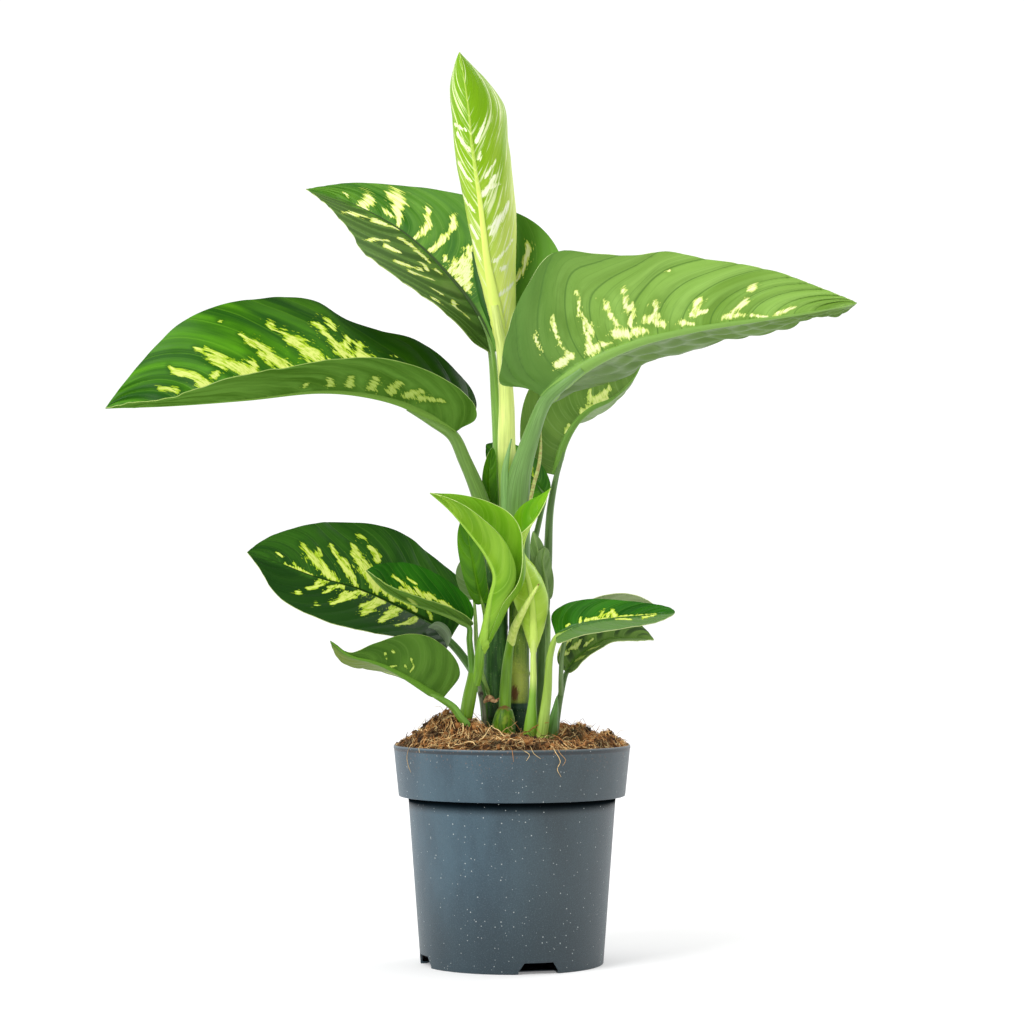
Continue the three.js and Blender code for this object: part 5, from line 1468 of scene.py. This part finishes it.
def ribbon_part(points, widths, facing, choice=0, curl=0.5, rings=50, thick=0.7):
    """A curved strip along the points that bows towards facing, with two sheets and an edge."""
    places = curve_points(points, rings)
    along = unit(np.gradient(places, axis=0))
    facing = np.array(facing, float)
    out = unit(facing - along * (along @ facing)[:, None])
    beside = np.cross(along, out)
    share = np.linspace(0, 1, rings + 1)
    width = smooth(widths, share)
    wide = STRIP_COLUMNS + 1
    step = np.linspace(-1, 1, wide)
    bow = curl * (1 - step**2)
    middle = places[:, None] + beside[:, None] * (width[:, None] * step)[..., None]
    middle = middle + out[:, None] * (width[:, None] * bow)[..., None]
    upper = (middle + out[:, None] * thick / 2).reshape(-1, 3)
    lower = (middle - out[:, None] * thick / 2).reshape(-1, 3)
    count = len(upper)
    faces = grid_faces(rings + 1, wide)
    every = np.concatenate([faces[:, ::-1], faces + count, rim_faces(rings + 1, wide)[:, ::-1]])
    runs = share[:, None] * path_length(places)
    flat = np.stack(np.broadcast_arrays(width[:, None] * step, runs), -1).reshape(-1, 2) / 10
    return {"points": np.concatenate([upper, lower]), "faces": every.tolist(), "choice": choice,
            "values": blank_values(2 * count), "flat": np.concatenate([flat, flat])}


def add_sheath_wings():
    """The two wings of the right leaf's sheath: one ends in a point, one is pale with a brown edge."""
    skin = stalk_material("sheath_wing", (118, 164, 84))
    pale = plain_material("sheath_edge", (178, 196, 112), (160, 150, 84), 0.6, (3, 3, 6))
    left = ribbon_part([(-4, -13, 300), (-5, -15, 330), (-5, -16, 352), (-2.5, -15, 366), (-0.4, -14, 375)],
                       [3, 3.4, 3.2, 2.2, 0.4], (-0.5, -1, 0))
    right = ribbon_part([(11, -16, 320), (15.5, -17, 342), (19, -18, 355), (20.5, -20, 368),
                         (20.6, -22, 381)], [1.0, 1.3, 1.4, 1.1, 0.3], (0.7, -1, 0), choice=1)
    add_parts("sheath_wings_visual", [left, right], [skin, pale])


def add_leaf_strip():
    """The dark strip of the newest stalk's sheath that shows beside the rolled leaf."""
    skin = stalk_material("sheath_strip", (32, 84, 8))
    strip = ribbon_part([(-29, 10, 513), (-24.4, 10, 496.7), (-19.7, 10, 477.7), (-12.8, 9, 458.7),
                         (-8.4, 7, 444), (-6, 5, 428)],
                        [0.4, 3.4, 4, 3.4, 2.2, 1], (-0.3, -1, 0), curl=0.3)
    add_parts("sheath_strip_visual", [strip], [skin])


def add_lobe_curl():
    """The small base lobe of the low left leaf, rolled so that its grey underside shows."""
    skin = stalk_material("lobe_curl", (138, 160, 122))
    curl = ribbon_part([(-59.4, -33, 240.2), (-52.3, -29, 240.8), (-46.6, -28, 234.8), (-45.6, -28, 226.6)],
                       [0.5, 3.6, 3.8, 0.6], (0, -1, 0), curl=0.35, rings=30)
    add_parts("leaf_lobe_curl_visual", [curl], [skin])


def add_dry_scrap():
    """The dry papery scrap and the old grey stalk at the foot of the main cane."""
    paper = plain_material("dry_paper", (196, 158, 112), (116, 78, 50), 0.8, (6, 6, 6))
    scrap = ribbon_part([(-20, -25, 187), (-16, -27, 190), (-12, -27, 188), (-9, -26, 190)],
                        [0.8, 2.4, 1.5, 0.5], (0, -1, 0.2), curl=0.35, rings=24, thick=0.5)
    stalk = tube_part([(-24, -20, 204), (-22, -22, 192), (-20, -23, 182), (-19, -24, 166)],
                      [1.3, 1.5, 1.5, 1.4], choice=1, sides=14, rings=40,
                      swell=ring_swell([(193, 0.8, 1.6), (176, 0.4, 1.4)]))
    grey = cane_material("dry_stalk", (98, 108, 84), (142, 150, 120), (92, 88, 70),
                         [(-22, -23, 193, 1.8, 1.0, 0.3, (58, 44, 36))])
    add_parts("dry_scraps_visual", [scrap, stalk], [paper, grey])


# Stage


def add_light(name, place, size, power):
    """A soft square light that faces the plant; place and size in metres, power in watts."""
    light = bpy.data.lights.new(name, "AREA")
    light.shape = "SQUARE"
    light.size = size
    light.energy = power
    lamp = bpy.data.objects.new(name, light)
    away = np.array(place) - np.array(LIGHT_AIM)
    flat = math.hypot(away[0], away[1])
    lamp.location = place
    lamp.rotation_euler = (math.atan2(flat, away[2]), 0, math.atan2(away[0], -away[1]))
    bpy.context.scene.collection.objects.link(lamp)


def add_floor():
    """A white floor that glows a little, so that only a soft shadow shows on it."""
    white = Shader("floor_white")
    grain = white.noise(white.place((0.2, 0.2, 0.2)))
    white.surface.inputs["Emission Color"].default_value = (1, 1, 1, 1)
    away = white.node("ShaderNodeVectorMath", {0: white.place((1, 1, 1))}, operation="LENGTH")
    glow = white.ramp(away.outputs["Value"], *FLOOR_GLOW_REACH, *FLOOR_GLOW)
    white.put(white.surface.inputs["Emission Strength"], glow)
    floor_material = white.finish(white.mix(grain, (225, 225, 225), (227, 227, 227)), 0.9, 0.0)
    far = FLOOR_REACH
    corners = [(-far, -far, 0), (far, -far, 0), (far, far, 0), (-far, far, 0)]
    add_mesh("floor", np.array(corners), [(0, 1, 2, 3)], [floor_material])


def add_surroundings():
    """White surroundings, brighter at the sides and behind the plant than in front of it."""
    world = bpy.data.worlds.new("studio")
    world.use_nodes = True
    tree = world.node_tree
    split = tree.nodes.new("ShaderNodeSeparateXYZ")
    tree.links.new(tree.nodes.new("ShaderNodeTexCoord").outputs["Generated"], split.inputs[0])
    ramp = tree.nodes.new("ShaderNodeMapRange")
    ramp.interpolation_type = "SMOOTHSTEP"
    for socket, number in zip(ramp.inputs[1:5], SURROUND_TURN + SURROUND_GLOW):
        socket.default_value = number
    tree.links.new(split.outputs[1], ramp.inputs[0])
    background = tree.nodes["Background"]
    background.inputs["Color"].default_value = (1, 1, 1, 1)
    tree.links.new(ramp.outputs[0], background.inputs["Strength"])
    bpy.context.scene.world = world


def add_stage():
    """A white floor, white surroundings and soft lights."""
    add_floor()
    add_surroundings()
    for name, place, size, power in LIGHTS:
        add_light(name, place, size, power)
    bpy.context.scene.view_settings.view_transform = "Standard"


def add_camera():
    """The camera of the photograph."""
    data = bpy.data.cameras.new("view")
    data.lens = CAMERA_LENS
    data.sensor_width = CAMERA_SENSOR
    data.clip_end = CAMERA_RANGE
    camera = bpy.data.objects.new("view", data)
    camera.location = CAMERA_PLACE
    camera.rotation_euler = (math.radians(90 + CAMERA_PITCH), 0, 0)
    bpy.context.scene.collection.objects.link(camera)
    bpy.context.scene.camera = camera


def main():
    """Builds every piece, the stage and the camera."""
    add_camera()
    add_stage()
    for add in (add_pot, add_soil, add_crumbs, add_fibres, add_roots, add_canes, add_shoots,
                add_sheath_wings, add_leaf_strip, add_lobe_curl, add_dry_scrap):
        add()
    for name in LEAVES:
        add_leaf(name)


main()
